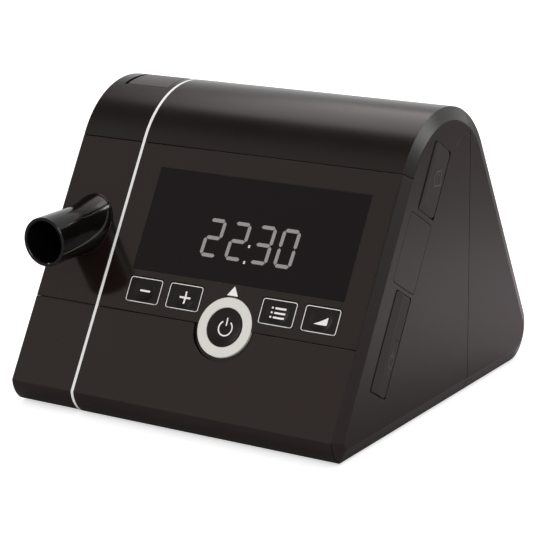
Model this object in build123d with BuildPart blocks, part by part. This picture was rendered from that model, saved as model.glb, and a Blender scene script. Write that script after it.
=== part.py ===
from build123d import *
from math import acos, asin, atan2, cos, degrees, hypot, radians, sin, tan
import os

# Bedside sleep-therapy blower: a wedge-shaped casing with a sloping control face, a side part
# that carries the hose outlet, and the blower, silencer and electronics inside.
# Millimetres, X to the right, Y to the rear, Z up. The origin is on the floor under the middle.

os.makedirs("parts", exist_ok=True)

# ---------------------------------------------------------------- overall form
WIDTH = 170.0  # side to side
DEPTH = 182.0  # front crease to rear corner
HEIGHT = 135.0  # floor to ridge
FOOT_STAND = 0.8  # underside of the machine above the floor
FRONT_ANGLE = 59.5  # control face above the horizontal, degrees
CREASE_HEIGHT = 11.5  # where the control face turns under
NOSE_SETBACK = 6.4  # how far the nose draws back below the crease
NOSE_BULGE = 1.5  # roundness of the nose
RIDGE_RADIUS = 41.3
REAR_RADIUS = 14.3

WALL = 2.4  # moulded casing
END_WALL = 3.0  # flat right-hand end
SEAM = 0.4  # visible joint between casing parts
END_JOINT = 0.2  # finer joint round the end cover
FIT = 0.1  # gap between parts that seat in each other
BEVEL_WIDTH = 2.36  # bevel round the right-hand end, along X
BEVEL_INSET = 5.95  # the same bevel, across the end face
SEAM_BELOW_RIDGE = 2.1  # upper joint of the control face below the start of the round ridge
PANEL_LENGTH = 77.6  # control face between its two joints
END_SEAM_BEHIND = 21.14  # upright joint of the rear shell behind the ridge axis

# ---------------------------------------------------------------- side part
SIDE_WIDTH = 34.67  # left-hand end to the middle of the bright strip
STRIP_WIDTH = 1.4
STRIP_DEPTH = 4.0
DOCK_GAP = 0.37  # side part to strip
SIDE_LIFT = 0.6  # underside of the side part above that of the machine
SIDE_EDGE = 1.0  # bevel round the left-hand end
PLATE = 2.0  # flat inner walls

# ---------------------------------------------------------------- hose outlet
PIPE_IN = 18.0  # from the left-hand end
PIPE_DOWN = 42.54  # below the upper joint, down the control face
PIPE_REACH = 32.6  # tip in front of the control face
PIPE_RADIUS = 11.1
PIPE_BORE = 9.5
PIPE_CHAMFER = 0.6
CONE_LENGTH = 21.5  # straight stretch that the hose cuff goes on
FLARE_LENGTH = 24.0
FLARE_RADIUS = 14.6
TUBE_RADIUS = 10.8  # behind the panel
TUBE_LENGTH = 47.5

# ---------------------------------------------------------------- control face
WINDOW_OFF = 0.7  # right of the middle of the panel
WINDOW_DOWN = 34.4  # below the upper joint
WINDOW_MARGIN = 11.83  # window to the sides of the panel
WINDOW_HEIGHT = 47.5
WINDOW_THICK = 1.6
WINDOW_LEDGE = 2.5
WINDOW_CORNER = 0.8
LCD_BORDER = 6.2  # display inside the window, at its sides
LCD_HEIGHT = 40.0
KEY_NAMES = ("key_plus", "key_minus", "key_menu", "key_ramp")
KEY_UP = 10.4  # above the lower joint
KEY_MARGIN = 12.0  # row of keys to the sides of the panel
KEY_CLEAR = 15.15  # inner keys to the middle of the power key
KEY_SPACING = 3.68
KEY_HEIGHT = 11.8
KEY_CORNER = 1.3
KEY_EDGE = 0.2
KEY_GAP = 0.15
KEY_TRAVEL = 0.5
KEY_FLANGE = 0.7
KEY_FLANGE_THICK = 0.8
DISH_RADIUS = 5.4
DISH_DEPTH = 0.9
POWER_OFF = 1.1
POWER_UP = 0.2
POWER_RADIUS = 8.6
POWER_DISH_DEPTH = 1.3
RING_INNER = 8.8
RING_OUTER = 13.4
MOAT_RADIUS = 15.4
MOAT_DEPTH = 1.4
POWER_TRAVEL = 0.8
BOARD = 1.6  # every circuit board
BOARD_DEPTH = 9.0  # control board behind the control face
SWITCH = 6.0
CHIP = 1.4
POST_RADIUS = 2.2

# ---------------------------------------------------------------- right-hand end
COVER_PROUD = 0.6
COVER_THICK = 2.0
COVER_GAP = 0.3
GRIP_GAP = 0.9  # wider gap along the front of a rubber cover, for a fingernail
COVER_EDGE = 0.65
GRIP_CORNER = 1.2  # front corners of the rubber covers
HINGE_CORNER = 1.2  # rear corners of their pockets, sharp enough for a cover to swing
CARD_CREST, CARD_FRONT = 0.12, 0.45  # place of the highest line across the width, height at the front
PORT_CREST, PORT_FRONT = 0.4, 0.15
LIP_LENGTH = 4.5  # slope at the lower end of the card cover
PAD_LENGTH = 18.0  # raised thumb pad at the upper end of the port cover
PAD_HEIGHT = 0.5
PAD_IN = 1.2  # inside the cover's edges
CARD_COVER_D, CARD_COVER_UP = 24.9, 6.0  # behind the face, and above its upper joint
CARD_COVER_WIDTH, CARD_COVER_LENGTH, CARD_COVER_CORNER = 15.6, 31.0, 3.6
BLANK_COVER_D, BLANK_COVER_DOWN = 21.8, 27.9
BLANK_COVER_WIDTH, BLANK_COVER_LENGTH, BLANK_COVER_CORNER = 20.9, 31.2, 1.2
PORT_COVER_D, PORT_COVER_LOW = 24.1, 27.2
PORT_COVER_WIDTH, PORT_COVER_CORNER = 14.2, 2.6
COVER_SPACING = 2.3  # port cover to blank cover
CARD_WIDTH, CARD_LENGTH, CARD_THICK = 24.0, 32.0, 2.1
CARD_SLACK = 0.3
PORT_WIDTH, PORT_HEIGHT = 8.0, 3.2
PORT_UP = 10.8  # socket above the lower end of its cover
END_CREASE_DOWN = 14.6  # crease of the end cover below the ridge, at the upright joint
END_CREASE_LENGTH, END_CREASE_DROP, END_CREASE_BOW = 14.7, 4.3, 1.1
END_CREASE_WIDTH, END_CREASE_DEPTH = 0.6, 0.35
IO_BOARD_IN = 7.0  # interface board inside the end wall
IO_BOARD_NEAR, IO_BOARD_FAR = 13.5, 34.5  # its edges, behind the control face
IO_POST_IN = 3.5  # its screws inside those edges

# ---------------------------------------------------------------- rear
FILTER_IN = 27.63  # from the left side of the casing
FILTER_T = 25.0  # middle of the filter opening, up the back slope
FILTER_WIDTH = 40.0
FILTER_HEIGHT = 34.0
FILTER_BOX_DEPTH = 13.0
FILTER_COVER_THICK = 2.2
LOUVRES = 7
LOUVRE_HEIGHT = 2.0
INLET_IN = 25.0  # from the right-hand end
INLET_Z = 27.0
INLET_SINK = 1.57  # below the back slope at its upper edge
INLET_COLLAR = 4.0  # how far the casing's collar overlaps the inlet
INLET_WIDTH, INLET_HEIGHT, INLET_LENGTH = 24.0, 15.6, 20.0
PLUG_WIDTH, PLUG_HEIGHT, PLUG_DEPTH = 15.4, 8.6, 11.0
PIN_RADIUS, PIN_PITCH, PIN_LENGTH = 1.18, 8.6, 8.0
VENTS = 9
VENT_WIDTH, VENT_LENGTH, VENT_PITCH = 1.8, 18.0, 4.2
VENT_IN, VENT_T = 40.0, 62.0

# ---------------------------------------------------------------- base
TRAY_SETBACK = 21.0  # tray behind the front crease
FOOT_RADIUS = 6.0
FOOT_THICK = 1.6
BOSS_RADIUS = 3.6
BOSS_HEIGHT = 9.0
SCREW_RADIUS = 1.5
SCREW_HEAD_RADIUS = 2.9
SCREW_HEAD = 1.6

# ---------------------------------------------------------------- blower and silencer
BLOWER_IN = 53.63  # from the left side of the casing
BLOWER_AHEAD = 73.0  # in front of the rear
SILENCER_IN = 5.63
SILENCER_AHEAD = 46.0  # in front of the blower axis
SILENCER_FLOOR = 5.0
SILENCER_TOP = 34.0
SILENCER_WALL = 1.8
BLOWER_FLOOR = 40.0
BLOWER_HEIGHT = 26.0
BLOWER_WALL = 1.8
SCROLL_START, SCROLL_END = 27.0, 38.0
OUTLET_IN = 11.63
INTAKE_RADIUS = 11.0
IMPELLER_RADIUS = 24.0
IMPELLER_GAP = 1.0
IMPELLER_PLATE = 1.4
BLADES = 11
BLADE_HEIGHT = 13.0
BLADE_THICK = 1.1
HUB_RADIUS = 6.0
SHAFT_RADIUS = 1.5
SHAFT_CLEARANCE = 0.05
MOTOR_RADIUS = 19.0
MOTOR_HEIGHT = 17.0
PORT_RADIUS = 9.5
SNOUT_AHEAD, SNOUT_Z = 27.0, 14.0  # rear lower edge of the silencer
BULGE = 2.0  # of the soft bellows between silencer and blower

# ---------------------------------------------------------------- power supply
POWER_BOARD_IN, POWER_BOARD_AHEAD = 23.0, 71.0  # its middle, from the right-hand end and the rear
POWER_BOARD_WIDTH, POWER_BOARD_LENGTH = 34.0, 78.0
POWER_BOARD_Z = 9.0
POWER_BOARD_GAP = 6.0  # to the silencer
TRANSFORMER_WIDTH, TRANSFORMER_LENGTH, TRANSFORMER_HEIGHT = 20.0, 24.0, 20.0
HEAT_SINK_LENGTH = 50.0
LARGE_CAN_RADIUS, SMALL_CAN_RADIUS, CAN_HEIGHT = 8.0, 5.0, 16.0

# ---------------------------------------------------------------- derived places
LEFT, RIGHT = -WIDTH / 2, WIDTH / 2
FRONT, REAR = -DEPTH / 2, DEPTH / 2
HALF_SEAM = SEAM / 2
STRIP_X = LEFT + SIDE_WIDTH
MAIN_LEFT = STRIP_X + STRIP_WIDTH / 2
SIDE_RIGHT = STRIP_X - STRIP_WIDTH / 2 - DOCK_GAP
END_INNER = RIGHT - END_WALL
COVER_DEPTH = COVER_THICK - COVER_PROUD  # underside of the rubber covers below the end face
IO_BOARD_X = END_INNER - IO_BOARD_IN
BEVEL_X = RIGHT - BEVEL_WIDTH
PANEL_RIGHT = BEVEL_X - END_JOINT
PANEL_MIDDLE = (MAIN_LEFT + PANEL_RIGHT) / 2
TRAY_TOP = FOOT_STAND + WALL
FRONT_RADIANS = radians(FRONT_ANGLE)
RIDGE_Z = HEIGHT - RIDGE_RADIUS
RIDGE_Y = FRONT + (RIDGE_RADIUS + (RIDGE_Z - CREASE_HEIGHT) * cos(FRONT_RADIANS)) / sin(FRONT_RADIANS)
END_SEAM_Y = RIDGE_Y + END_SEAM_BEHIND
REAR_ARC_Y, REAR_ARC_Z = REAR - REAR_RADIUS, FOOT_STAND + REAR_RADIUS
ARC_SPAN = hypot(REAR_ARC_Y - RIDGE_Y, REAR_ARC_Z - RIDGE_Z)
BACK_NORMAL = degrees(
    atan2(REAR_ARC_Z - RIDGE_Z, REAR_ARC_Y - RIDGE_Y) + acos((RIDGE_RADIUS - REAR_RADIUS) / ARC_SPAN)
)
TRAY_FRONT = FRONT + TRAY_SETBACK
TRAY_REAR = REAR_ARC_Y - FIT
# Places up the control face, from the crease.
FACE_LENGTH = (RIDGE_Z + RIDGE_RADIUS * cos(FRONT_RADIANS) - CREASE_HEIGHT) / sin(FRONT_RADIANS)
UPPER_SEAM = FACE_LENGTH - SEAM_BELOW_RIDGE
LOWER_SEAM = UPPER_SEAM - PANEL_LENGTH
WINDOW_X, WINDOW_S = PANEL_MIDDLE + WINDOW_OFF, UPPER_SEAM - WINDOW_DOWN
WINDOW_WIDTH = PANEL_RIGHT - MAIN_LEFT - 2 * WINDOW_MARGIN
LCD_WIDTH = WINDOW_WIDTH - 2 * LCD_BORDER
KEY_S = LOWER_SEAM + KEY_UP
POWER_X, POWER_S = PANEL_MIDDLE + POWER_OFF, LOWER_SEAM + POWER_UP
KEY_WIDTH = ((PANEL_RIGHT - MAIN_LEFT) / 2 - KEY_MARGIN - KEY_CLEAR - KEY_SPACING) / 2
INNER_KEY = KEY_CLEAR + KEY_WIDTH / 2  # middle of a key to the middle of the power key
OUTER_KEY = INNER_KEY + KEY_WIDTH + KEY_SPACING
KEY_XS = (POWER_X - INNER_KEY, POWER_X - OUTER_KEY, POWER_X + INNER_KEY, POWER_X + OUTER_KEY)
CARD_COVER_S = UPPER_SEAM + CARD_COVER_UP
BLANK_COVER_S = UPPER_SEAM - BLANK_COVER_DOWN
PORT_COVER_HIGH = BLANK_COVER_S - BLANK_COVER_LENGTH / 2 - COVER_SPACING
PORT_COVER_LENGTH = PORT_COVER_HIGH - PORT_COVER_LOW
PORT_COVER_S = (PORT_COVER_LOW + PORT_COVER_HIGH) / 2
PORT_S = PORT_COVER_LOW + PORT_UP
IO_BOARD_LOW, IO_BOARD_HIGH = PORT_S - 18, BLANK_COVER_S + BLANK_COVER_LENGTH / 2
# Places inside the casing.
POWER_BOARD_X = RIGHT - POWER_BOARD_IN
BLOWER_X, BLOWER_Y = MAIN_LEFT + BLOWER_IN, REAR - BLOWER_AHEAD
SILENCER_LEFT = MAIN_LEFT + SILENCER_IN
SILENCER_RIGHT = POWER_BOARD_X - POWER_BOARD_WIDTH / 2 - POWER_BOARD_GAP
SILENCER_FRONT = BLOWER_Y - SILENCER_AHEAD
OUTLET_X = MAIN_LEFT + OUTLET_IN
FILTER_X = MAIN_LEFT + FILTER_IN
INLET_X = RIGHT - INLET_IN
VENT_X = RIGHT - VENT_IN
TONGUE = 30.0  # the scroll starts this far round from its outlet, degrees
OUTLET_FAR = BLOWER_Y - SCROLL_END  # outer and inner wall of the blower outlet
OUTLET_NEAR = BLOWER_Y - SCROLL_START * cos(radians(TONGUE))
PORT_Y = (OUTLET_FAR + OUTLET_NEAR) / 2
PORT_Z = BLOWER_FLOOR + BLOWER_HEIGHT / 2


def on_circle(y, z, radius, angle):
    """Point of a circle in the (y, z) plane, at an angle in degrees above +Y."""
    return (y + radius * cos(radians(angle)), z + radius * sin(radians(angle)))


def slope_point(s, d):
    """(y, z) of a point s up the control face from the crease and d behind it."""
    return (
        FRONT + s * cos(FRONT_RADIANS) + d * sin(FRONT_RADIANS),
        CREASE_HEIGHT + s * sin(FRONT_RADIANS) - d * cos(FRONT_RADIANS),
    )


BACK_FOOT = on_circle(REAR_ARC_Y, REAR_ARC_Z, REAR_RADIUS, BACK_NORMAL)
INLET_TOP = INLET_Z + INLET_HEIGHT / 2
INLET_FACE_Y = BACK_FOOT[0] - (INLET_TOP - BACK_FOOT[1]) * tan(radians(BACK_NORMAL)) - INLET_SINK
PIPE_X = LEFT + PIPE_IN
PIPE_FACE_Y, PIPE_Z = slope_point(UPPER_SEAM - PIPE_DOWN, 0)
PIPE_TIP_Y = PIPE_FACE_Y - PIPE_REACH
FLARE_Y = PIPE_TIP_Y + CONE_LENGTH
TUBE_END_Y = PIPE_TIP_Y + TUBE_LENGTH


def back_point(t, d):
    """(y, z) of a point t up the back slope from its foot and d in front of it."""
    normal = radians(BACK_NORMAL)
    return (
        BACK_FOOT[0] - t * sin(normal) - d * cos(normal),
        BACK_FOOT[1] + t * cos(normal) - d * sin(normal),
    )


def outline(inset=0.0):
    """Side profile of the casing in (y, z), with every edge moved inwards by inset."""
    front_top = on_circle(RIDGE_Y, RIDGE_Z, RIDGE_RADIUS, 90 + FRONT_ANGLE)
    ridge = on_circle(RIDGE_Y, RIDGE_Z, RIDGE_RADIUS, (90 + FRONT_ANGLE + BACK_NORMAL) / 2)
    back_top = on_circle(RIDGE_Y, RIDGE_Z, RIDGE_RADIUS, BACK_NORMAL)
    rear = on_circle(REAR_ARC_Y, REAR_ARC_Z, REAR_RADIUS, (BACK_NORMAL - 90) / 2)
    nose = (FRONT + NOSE_SETBACK, FOOT_STAND)
    with BuildSketch() as side:
        with BuildLine():
            Line((FRONT, CREASE_HEIGHT), front_top)
            ThreePointArc(front_top, ridge, back_top)
            Line(back_top, BACK_FOOT)
            ThreePointArc(BACK_FOOT, rear, (REAR_ARC_Y, FOOT_STAND))
            Line((REAR_ARC_Y, FOOT_STAND), nose)
            SagittaArc(nose, (FRONT, CREASE_HEIGHT), NOSE_BULGE)
        make_face()
        if inset:
            offset(amount=-inset, kind=Kind.INTERSECTION)
    return side.sketch


def area(*points):
    """Closed region of the (y, z) plane."""
    with BuildSketch() as region:
        with BuildLine():
            Polyline(*points, close=True)
        make_face()
    return region.sketch


def rounded(width, height, corner):
    """Rectangle with rounded corners, centred on its own origin."""
    with BuildSketch() as shape:
        RectangleRounded(width, height, corner)
    return shape.sketch


OUTLINE = outline()
INNER_OUTLINE = outline(WALL)
END_OUTLINE = outline(BEVEL_INSET)
FACE = Plane(origin=(0, FRONT, CREASE_HEIGHT), x_dir=(1, 0, 0),
             z_dir=(0, -sin(FRONT_RADIANS), cos(FRONT_RADIANS)))
FACE_AXIS = Axis((0, 0, 0), FACE.z_dir)
END = Plane(origin=(RIGHT, FRONT, CREASE_HEIGHT),
            x_dir=(0, sin(FRONT_RADIANS), -cos(FRONT_RADIANS)), z_dir=(1, 0, 0))
ACROSS = Plane(origin=END.origin, x_dir=END.x_dir, z_dir=-END.y_dir)  # section across the covers
BACK = Plane(origin=(0, *BACK_FOOT), x_dir=(-1, 0, 0),
             z_dir=(0, cos(radians(BACK_NORMAL)), sin(radians(BACK_NORMAL))))
FAR = 2 * max(WIDTH, DEPTH, HEIGHT)  # beyond every part

# Regions of the side view that each casing part takes.
BELOW_UPPER_SEAM = area(slope_point(-FAR, -FAR), slope_point(UPPER_SEAM - HALF_SEAM, -FAR),
                        slope_point(UPPER_SEAM - HALF_SEAM, FAR), slope_point(-FAR, FAR))
TOP_REGION = area(slope_point(UPPER_SEAM + HALF_SEAM, -WALL),
                  slope_point(UPPER_SEAM + HALF_SEAM, 3 * WALL),
                  (END_SEAM_Y - HALF_SEAM, RIDGE_Z), (END_SEAM_Y - HALF_SEAM, HEIGHT + WALL),
                  (slope_point(UPPER_SEAM, 0)[0] - WALL, HEIGHT + WALL))
FRONT_REGION = area((-FAR, -FAR), (END_SEAM_Y - HALF_SEAM, -FAR),
                    (END_SEAM_Y - HALF_SEAM, FAR), (-FAR, FAR))
REAR_REGION = area((END_SEAM_Y + HALF_SEAM, -FAR), (FAR, -FAR),
                   (FAR, FAR), (END_SEAM_Y + HALF_SEAM, FAR))
LOWER_REGION = area((FRONT - WALL, FOOT_STAND - WALL), (TRAY_FRONT - FIT, FOOT_STAND - WALL),
                    (TRAY_FRONT - FIT, TRAY_TOP + WALL), slope_point(LOWER_SEAM - HALF_SEAM, 2 * WALL),
                    slope_point(LOWER_SEAM - HALF_SEAM, -WALL), (FRONT - WALL, CREASE_HEIGHT))

# ---------------------------------------------------------------- casing blank
# The whole right-hand casing as one hollow form. Each casing part below is cut from it.
with BuildPart() as casing:
    with BuildSketch(Plane.YZ.offset(MAIN_LEFT)):
        add(OUTLINE)
    extrude(amount=BEVEL_X - MAIN_LEFT)
    with BuildSketch(Plane.YZ.offset(BEVEL_X)):
        add(OUTLINE)
    with BuildSketch(Plane.YZ.offset(RIGHT)):
        add(END_OUTLINE)
    loft(ruled=True)
    with BuildSketch(Plane.YZ.offset(MAIN_LEFT)):
        add(INNER_OUTLINE)
    extrude(amount=END_INNER - MAIN_LEFT, mode=Mode.SUBTRACT)
    with BuildSketch(Plane.XY.offset(FOOT_STAND)):
        with Locations(((MAIN_LEFT + END_INNER) / 2, (TRAY_FRONT + TRAY_REAR) / 2)):
            Rectangle(END_INNER - MAIN_LEFT, TRAY_REAR - TRAY_FRONT + 2 * FIT)
    extrude(amount=WALL, mode=Mode.SUBTRACT)


def take(blank, region, x_from, x_to):
    """The piece of a blank between two X stations, inside a region of the side view."""
    with BuildPart() as piece:
        add(blank)
        with BuildSketch(Plane.YZ.offset(x_from)):
            add(region)
        extrude(amount=x_to - x_from, mode=Mode.INTERSECT)
    return piece.part


def screw_bosses(places, wall_y):
    """Bosses over the tray, each tied by a rib to the casing wall at wall_y."""
    with BuildPart() as posts:
        with BuildSketch(Plane.XY.offset(TRAY_TOP + FIT)):
            for x, y in places:
                with Locations((x, y)):
                    Circle(BOSS_RADIUS)
                with Locations((x, (y + wall_y) / 2)):
                    Rectangle(WALL, abs(wall_y - y))
        extrude(amount=BOSS_HEIGHT)
        with BuildSketch(Plane.XY.offset(TRAY_TOP)):
            with Locations(*places):
                Circle(SCREW_RADIUS + FIT)
        extrude(amount=BOSS_HEIGHT - WALL, mode=Mode.SUBTRACT)
        with BuildSketch(Plane.YZ.offset(MAIN_LEFT)):
            add(outline(WALL / 2))
        extrude(amount=FAR, mode=Mode.INTERSECT)
    return posts.part


def pocket(width, length, corner):
    """Outline of the pocket round a cover of the given size."""
    return rounded(width + 2 * COVER_GAP, length + 2 * COVER_GAP, corner + COVER_GAP)


def flap(width, length, front, rear):
    """Outline of a rubber cover, with corner radii of its own at the grip and at the hinge."""
    with BuildSketch() as shape:
        Rectangle(width, length)
        fillet(shape.vertices().group_by(Axis.X)[0], front)
        fillet(shape.vertices().group_by(Axis.X)[-1], rear)
    return shape.sketch


def flap_pocket(width, length):
    """Outline of the pocket round a rubber cover, wider at the grip."""
    with BuildSketch() as shape:
        with Locations(((COVER_GAP - GRIP_GAP) / 2, 0)):
            add(flap(width + COVER_GAP + GRIP_GAP, length + 2 * COVER_GAP,
                     GRIP_CORNER + COVER_GAP, HINGE_CORNER))
    return shape.sketch


def save(piece, name):
    """Label a finished piece and write it."""
    piece.label = name
    export_step(piece, f"parts/{name}.step")


FRONT_BOSSES = [(MAIN_LEFT + 14, TRAY_FRONT + 5), (PANEL_RIGHT - 14, TRAY_FRONT + 5)]
REAR_BOSSES = [(x, TRAY_REAR - 6) for x in (MAIN_LEFT + 8, PANEL_MIDDLE, END_INNER - 8)]
BOSS_PLACES = FRONT_BOSSES + REAR_BOSSES

# ---------------------------------------------------------------- casing parts
with BuildPart() as top_cover:
    add(take(casing.part, TOP_REGION, MAIN_LEFT, RIGHT))
    with BuildSketch(Plane.YZ.offset(END_INNER)):
        add(END_OUTLINE)
    extrude(amount=END_WALL, mode=Mode.SUBTRACT)
save(top_cover.part, "top_cover")

with BuildPart() as lower_panel:
    add(take(casing.part, LOWER_REGION, MAIN_LEFT, PANEL_RIGHT))
    with BuildSketch(Plane.YZ.offset(END_INNER)):
        add(INNER_OUTLINE)
    extrude(amount=END_WALL, mode=Mode.SUBTRACT)
    add(screw_bosses(FRONT_BOSSES, FRONT))
    with BuildSketch(FACE):
        with Locations((POWER_X, POWER_S)):
            Circle(MOAT_RADIUS)
    extrude(amount=-FAR / 8, mode=Mode.SUBTRACT)
save(lower_panel.part, "lower_panel")

with BuildPart() as control_panel:
    with BuildSketch(FACE):
        with BuildLine():
            Polyline((MAIN_LEFT, LOWER_SEAM + HALF_SEAM), (PANEL_RIGHT, LOWER_SEAM + HALF_SEAM),
                     (PANEL_RIGHT, UPPER_SEAM - HALF_SEAM), (MAIN_LEFT, UPPER_SEAM - HALF_SEAM), close=True)
        make_face()
    extrude(amount=-WALL)
    # Sunk collar that carries the lower half of the bright ring.
    with BuildSketch(FACE.offset(-MOAT_DEPTH)):
        with Locations((POWER_X, POWER_S)):
            Circle(MOAT_RADIUS - COVER_GAP)
    extrude(amount=MOAT_DEPTH - WALL)
    with BuildSketch(FACE):
        with Locations((WINDOW_X, WINDOW_S)):
            add(rounded(WINDOW_WIDTH + 2 * FIT, WINDOW_HEIGHT + 2 * FIT, WINDOW_CORNER))
    extrude(amount=-WINDOW_THICK, mode=Mode.SUBTRACT)
    with BuildSketch(FACE):
        with Locations((WINDOW_X, WINDOW_S)):
            Rectangle(WINDOW_WIDTH - 2 * WINDOW_LEDGE, WINDOW_HEIGHT - 2 * WINDOW_LEDGE)
        with Locations(*[(x, KEY_S) for x in KEY_XS]):
            add(rounded(KEY_WIDTH + 2 * KEY_GAP, KEY_HEIGHT + 2 * KEY_GAP, KEY_CORNER + KEY_GAP))
        with Locations((POWER_X, POWER_S)):
            Circle(RING_OUTER + FIT)
    extrude(amount=-WALL, mode=Mode.SUBTRACT)
    # Posts that carry the control board.
    BOARD_POSTS = [(x, s) for x in (MAIN_LEFT + 7, PANEL_RIGHT - 7)
                   for s in (LOWER_SEAM + 7, UPPER_SEAM - 6)]
    with BuildSketch(FACE.offset(-WALL)):
        with Locations(*BOARD_POSTS):
            Circle(POST_RADIUS)
    extrude(amount=WALL - BOARD_DEPTH)
save(control_panel.part, "control_panel")

with BuildPart() as end_cover:
    add(take(casing.part, outline(BEVEL_INSET + END_JOINT), END_INNER, RIGHT))
    add(take(casing.part, BELOW_UPPER_SEAM, BEVEL_X, RIGHT))
    with BuildSketch(Plane.YZ.offset(END_INNER)):
        add(FRONT_REGION)
    extrude(amount=FAR, mode=Mode.INTERSECT)
    with BuildSketch(END):
        with Locations((CARD_COVER_D, CARD_COVER_S)):
            add(flap_pocket(CARD_COVER_WIDTH, CARD_COVER_LENGTH))
        with Locations((PORT_COVER_D, PORT_COVER_S)):
            add(flap_pocket(PORT_COVER_WIDTH, PORT_COVER_LENGTH))
    extrude(amount=-COVER_DEPTH - FIT, mode=Mode.SUBTRACT)
    # Shallow crease that fades away from the upright joint.
    crease_from = (END_SEAM_Y, HEIGHT - END_CREASE_DOWN)
    crease_to = (END_SEAM_Y - END_CREASE_LENGTH, HEIGHT - END_CREASE_DOWN - END_CREASE_DROP)
    middle = ((crease_from[0] + crease_to[0]) / 2, (crease_from[1] + crease_to[1]) / 2 + END_CREASE_BOW)
    with BuildSketch(Plane.YZ.offset(RIGHT)):
        with BuildLine():
            ThreePointArc(crease_from, middle, crease_to)
            ThreePointArc(crease_to, (middle[0], middle[1] - END_CREASE_WIDTH / 2),
                          (crease_from[0], crease_from[1] - END_CREASE_WIDTH))
            Line((crease_from[0], crease_from[1] - END_CREASE_WIDTH), crease_from)
        make_face()
    extrude(amount=-END_CREASE_DEPTH, mode=Mode.SUBTRACT)
    with BuildSketch(END):
        with Locations((BLANK_COVER_D, BLANK_COVER_S)):
            add(pocket(BLANK_COVER_WIDTH, BLANK_COVER_LENGTH, BLANK_COVER_CORNER))
    extrude(amount=-COVER_THICK - FIT, mode=Mode.SUBTRACT)
    with BuildSketch(END):
        with Locations((CARD_COVER_D, CARD_COVER_S)):
            Rectangle(CARD_THICK + 2 * CARD_SLACK, CARD_WIDTH + 2 * CARD_SLACK)
        with Locations((PORT_COVER_D, PORT_S)):
            Rectangle(PORT_HEIGHT + 2 * CARD_SLACK, PORT_WIDTH + 2 * CARD_SLACK)
        with Locations((BLANK_COVER_D, BLANK_COVER_S)):
            Rectangle(BLANK_COVER_WIDTH - 9, BLANK_COVER_LENGTH - 9)
    extrude(amount=-END_WALL, mode=Mode.SUBTRACT)
    # Posts for the interface board and the shelf under the card reader board.
    near_post, far_post = IO_BOARD_NEAR + IO_POST_IN, IO_BOARD_FAR - IO_POST_IN
    IO_POSTS = [(near_post, IO_BOARD_LOW + IO_POST_IN), (far_post, IO_BOARD_LOW + IO_POST_IN),
                (near_post, PORT_S + 32), (far_post, IO_BOARD_HIGH - IO_POST_IN)]
    with BuildSketch(END.offset(-END_WALL)):
        with Locations(*IO_POSTS):
            Circle(POST_RADIUS)
    extrude(amount=IO_BOARD_X + BOARD - END_INNER)
    SHELF_D = CARD_COVER_D + CARD_THICK / 2 + 2.0 + BOARD
    with BuildSketch(END.offset(-END_WALL)):
        with Locations((SHELF_D + WALL / 2, CARD_COVER_S)):
            Rectangle(WALL, CARD_WIDTH)
    extrude(amount=-(CARD_LENGTH / 2 + END_WALL))
save(end_cover.part, "end_cover")

# Collar that holds the mains inlet in its well.
with BuildPart() as inlet_collar:
    with BuildSketch(Plane.XZ.offset(INLET_COLLAR - INLET_FACE_Y)):
        with Locations((INLET_X, INLET_Z)):
            Rectangle(INLET_WIDTH + 2 * WALL, INLET_HEIGHT + 2 * WALL)
    extrude(amount=-DEPTH)
    with BuildSketch(Plane.YZ):
        add(outline(WALL / 2))
    extrude(amount=RIGHT, mode=Mode.INTERSECT)

with BuildPart() as rear_shell:
    add(take(casing.part, REAR_REGION, MAIN_LEFT, RIGHT))
    add(screw_bosses(REAR_BOSSES, REAR))
    add(inlet_collar.part)
    with BuildSketch(BACK):
        with Locations((-FILTER_X, FILTER_T)):
            Rectangle(FILTER_WIDTH + 2 * COVER_GAP, FILTER_HEIGHT + 2 * COVER_GAP)
        with Locations((-VENT_X, VENT_T)):
            with GridLocations(VENT_PITCH, VENT_LENGTH, VENTS, 1):
                SlotOverall(VENT_LENGTH, VENT_WIDTH, rotation=90)
    extrude(amount=-2 * WALL, mode=Mode.SUBTRACT)
    with BuildSketch(Plane.XZ.offset(-REAR)):
        with Locations((INLET_X, INLET_Z)):
            Rectangle(INLET_WIDTH + 2 * FIT, INLET_HEIGHT + 2 * FIT)
    extrude(amount=REAR - INLET_FACE_Y + INLET_LENGTH, mode=Mode.SUBTRACT)
save(rear_shell.part, "rear_shell")

with BuildPart() as dock_wall:
    with BuildSketch(Plane.YZ.offset(MAIN_LEFT)):
        add(outline(WALL + FIT))
        with Locations((PORT_Y, PORT_Z)):
            Circle(PORT_RADIUS, mode=Mode.SUBTRACT)
    extrude(amount=PLATE)
save(dock_wall.part, "dock_wall")

with BuildPart() as trim_strip:
    with BuildSketch(Plane.YZ.offset(MAIN_LEFT)):
        add(OUTLINE)
        add(outline(STRIP_DEPTH), mode=Mode.SUBTRACT)
    extrude(amount=-STRIP_WIDTH)
save(trim_strip.part, "trim_strip")

# ---------------------------------------------------------------- base
FEET = [(MAIN_LEFT + 12, TRAY_FRONT + 16), (END_INNER - 14, TRAY_FRONT + 16),
        (MAIN_LEFT + 12, TRAY_REAR - 22), (END_INNER - 14, TRAY_REAR - 22)]
POWER_BOARD_Y = REAR - POWER_BOARD_AHEAD
POWER_POSTS = [(POWER_BOARD_X + i * (POWER_BOARD_WIDTH / 2 - 3),
                POWER_BOARD_Y + j * (POWER_BOARD_LENGTH / 2 - 3))
               for i in (-1, 1) for j in (-1, 1)]
SNOUT_Y = REAR - SNOUT_AHEAD

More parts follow.
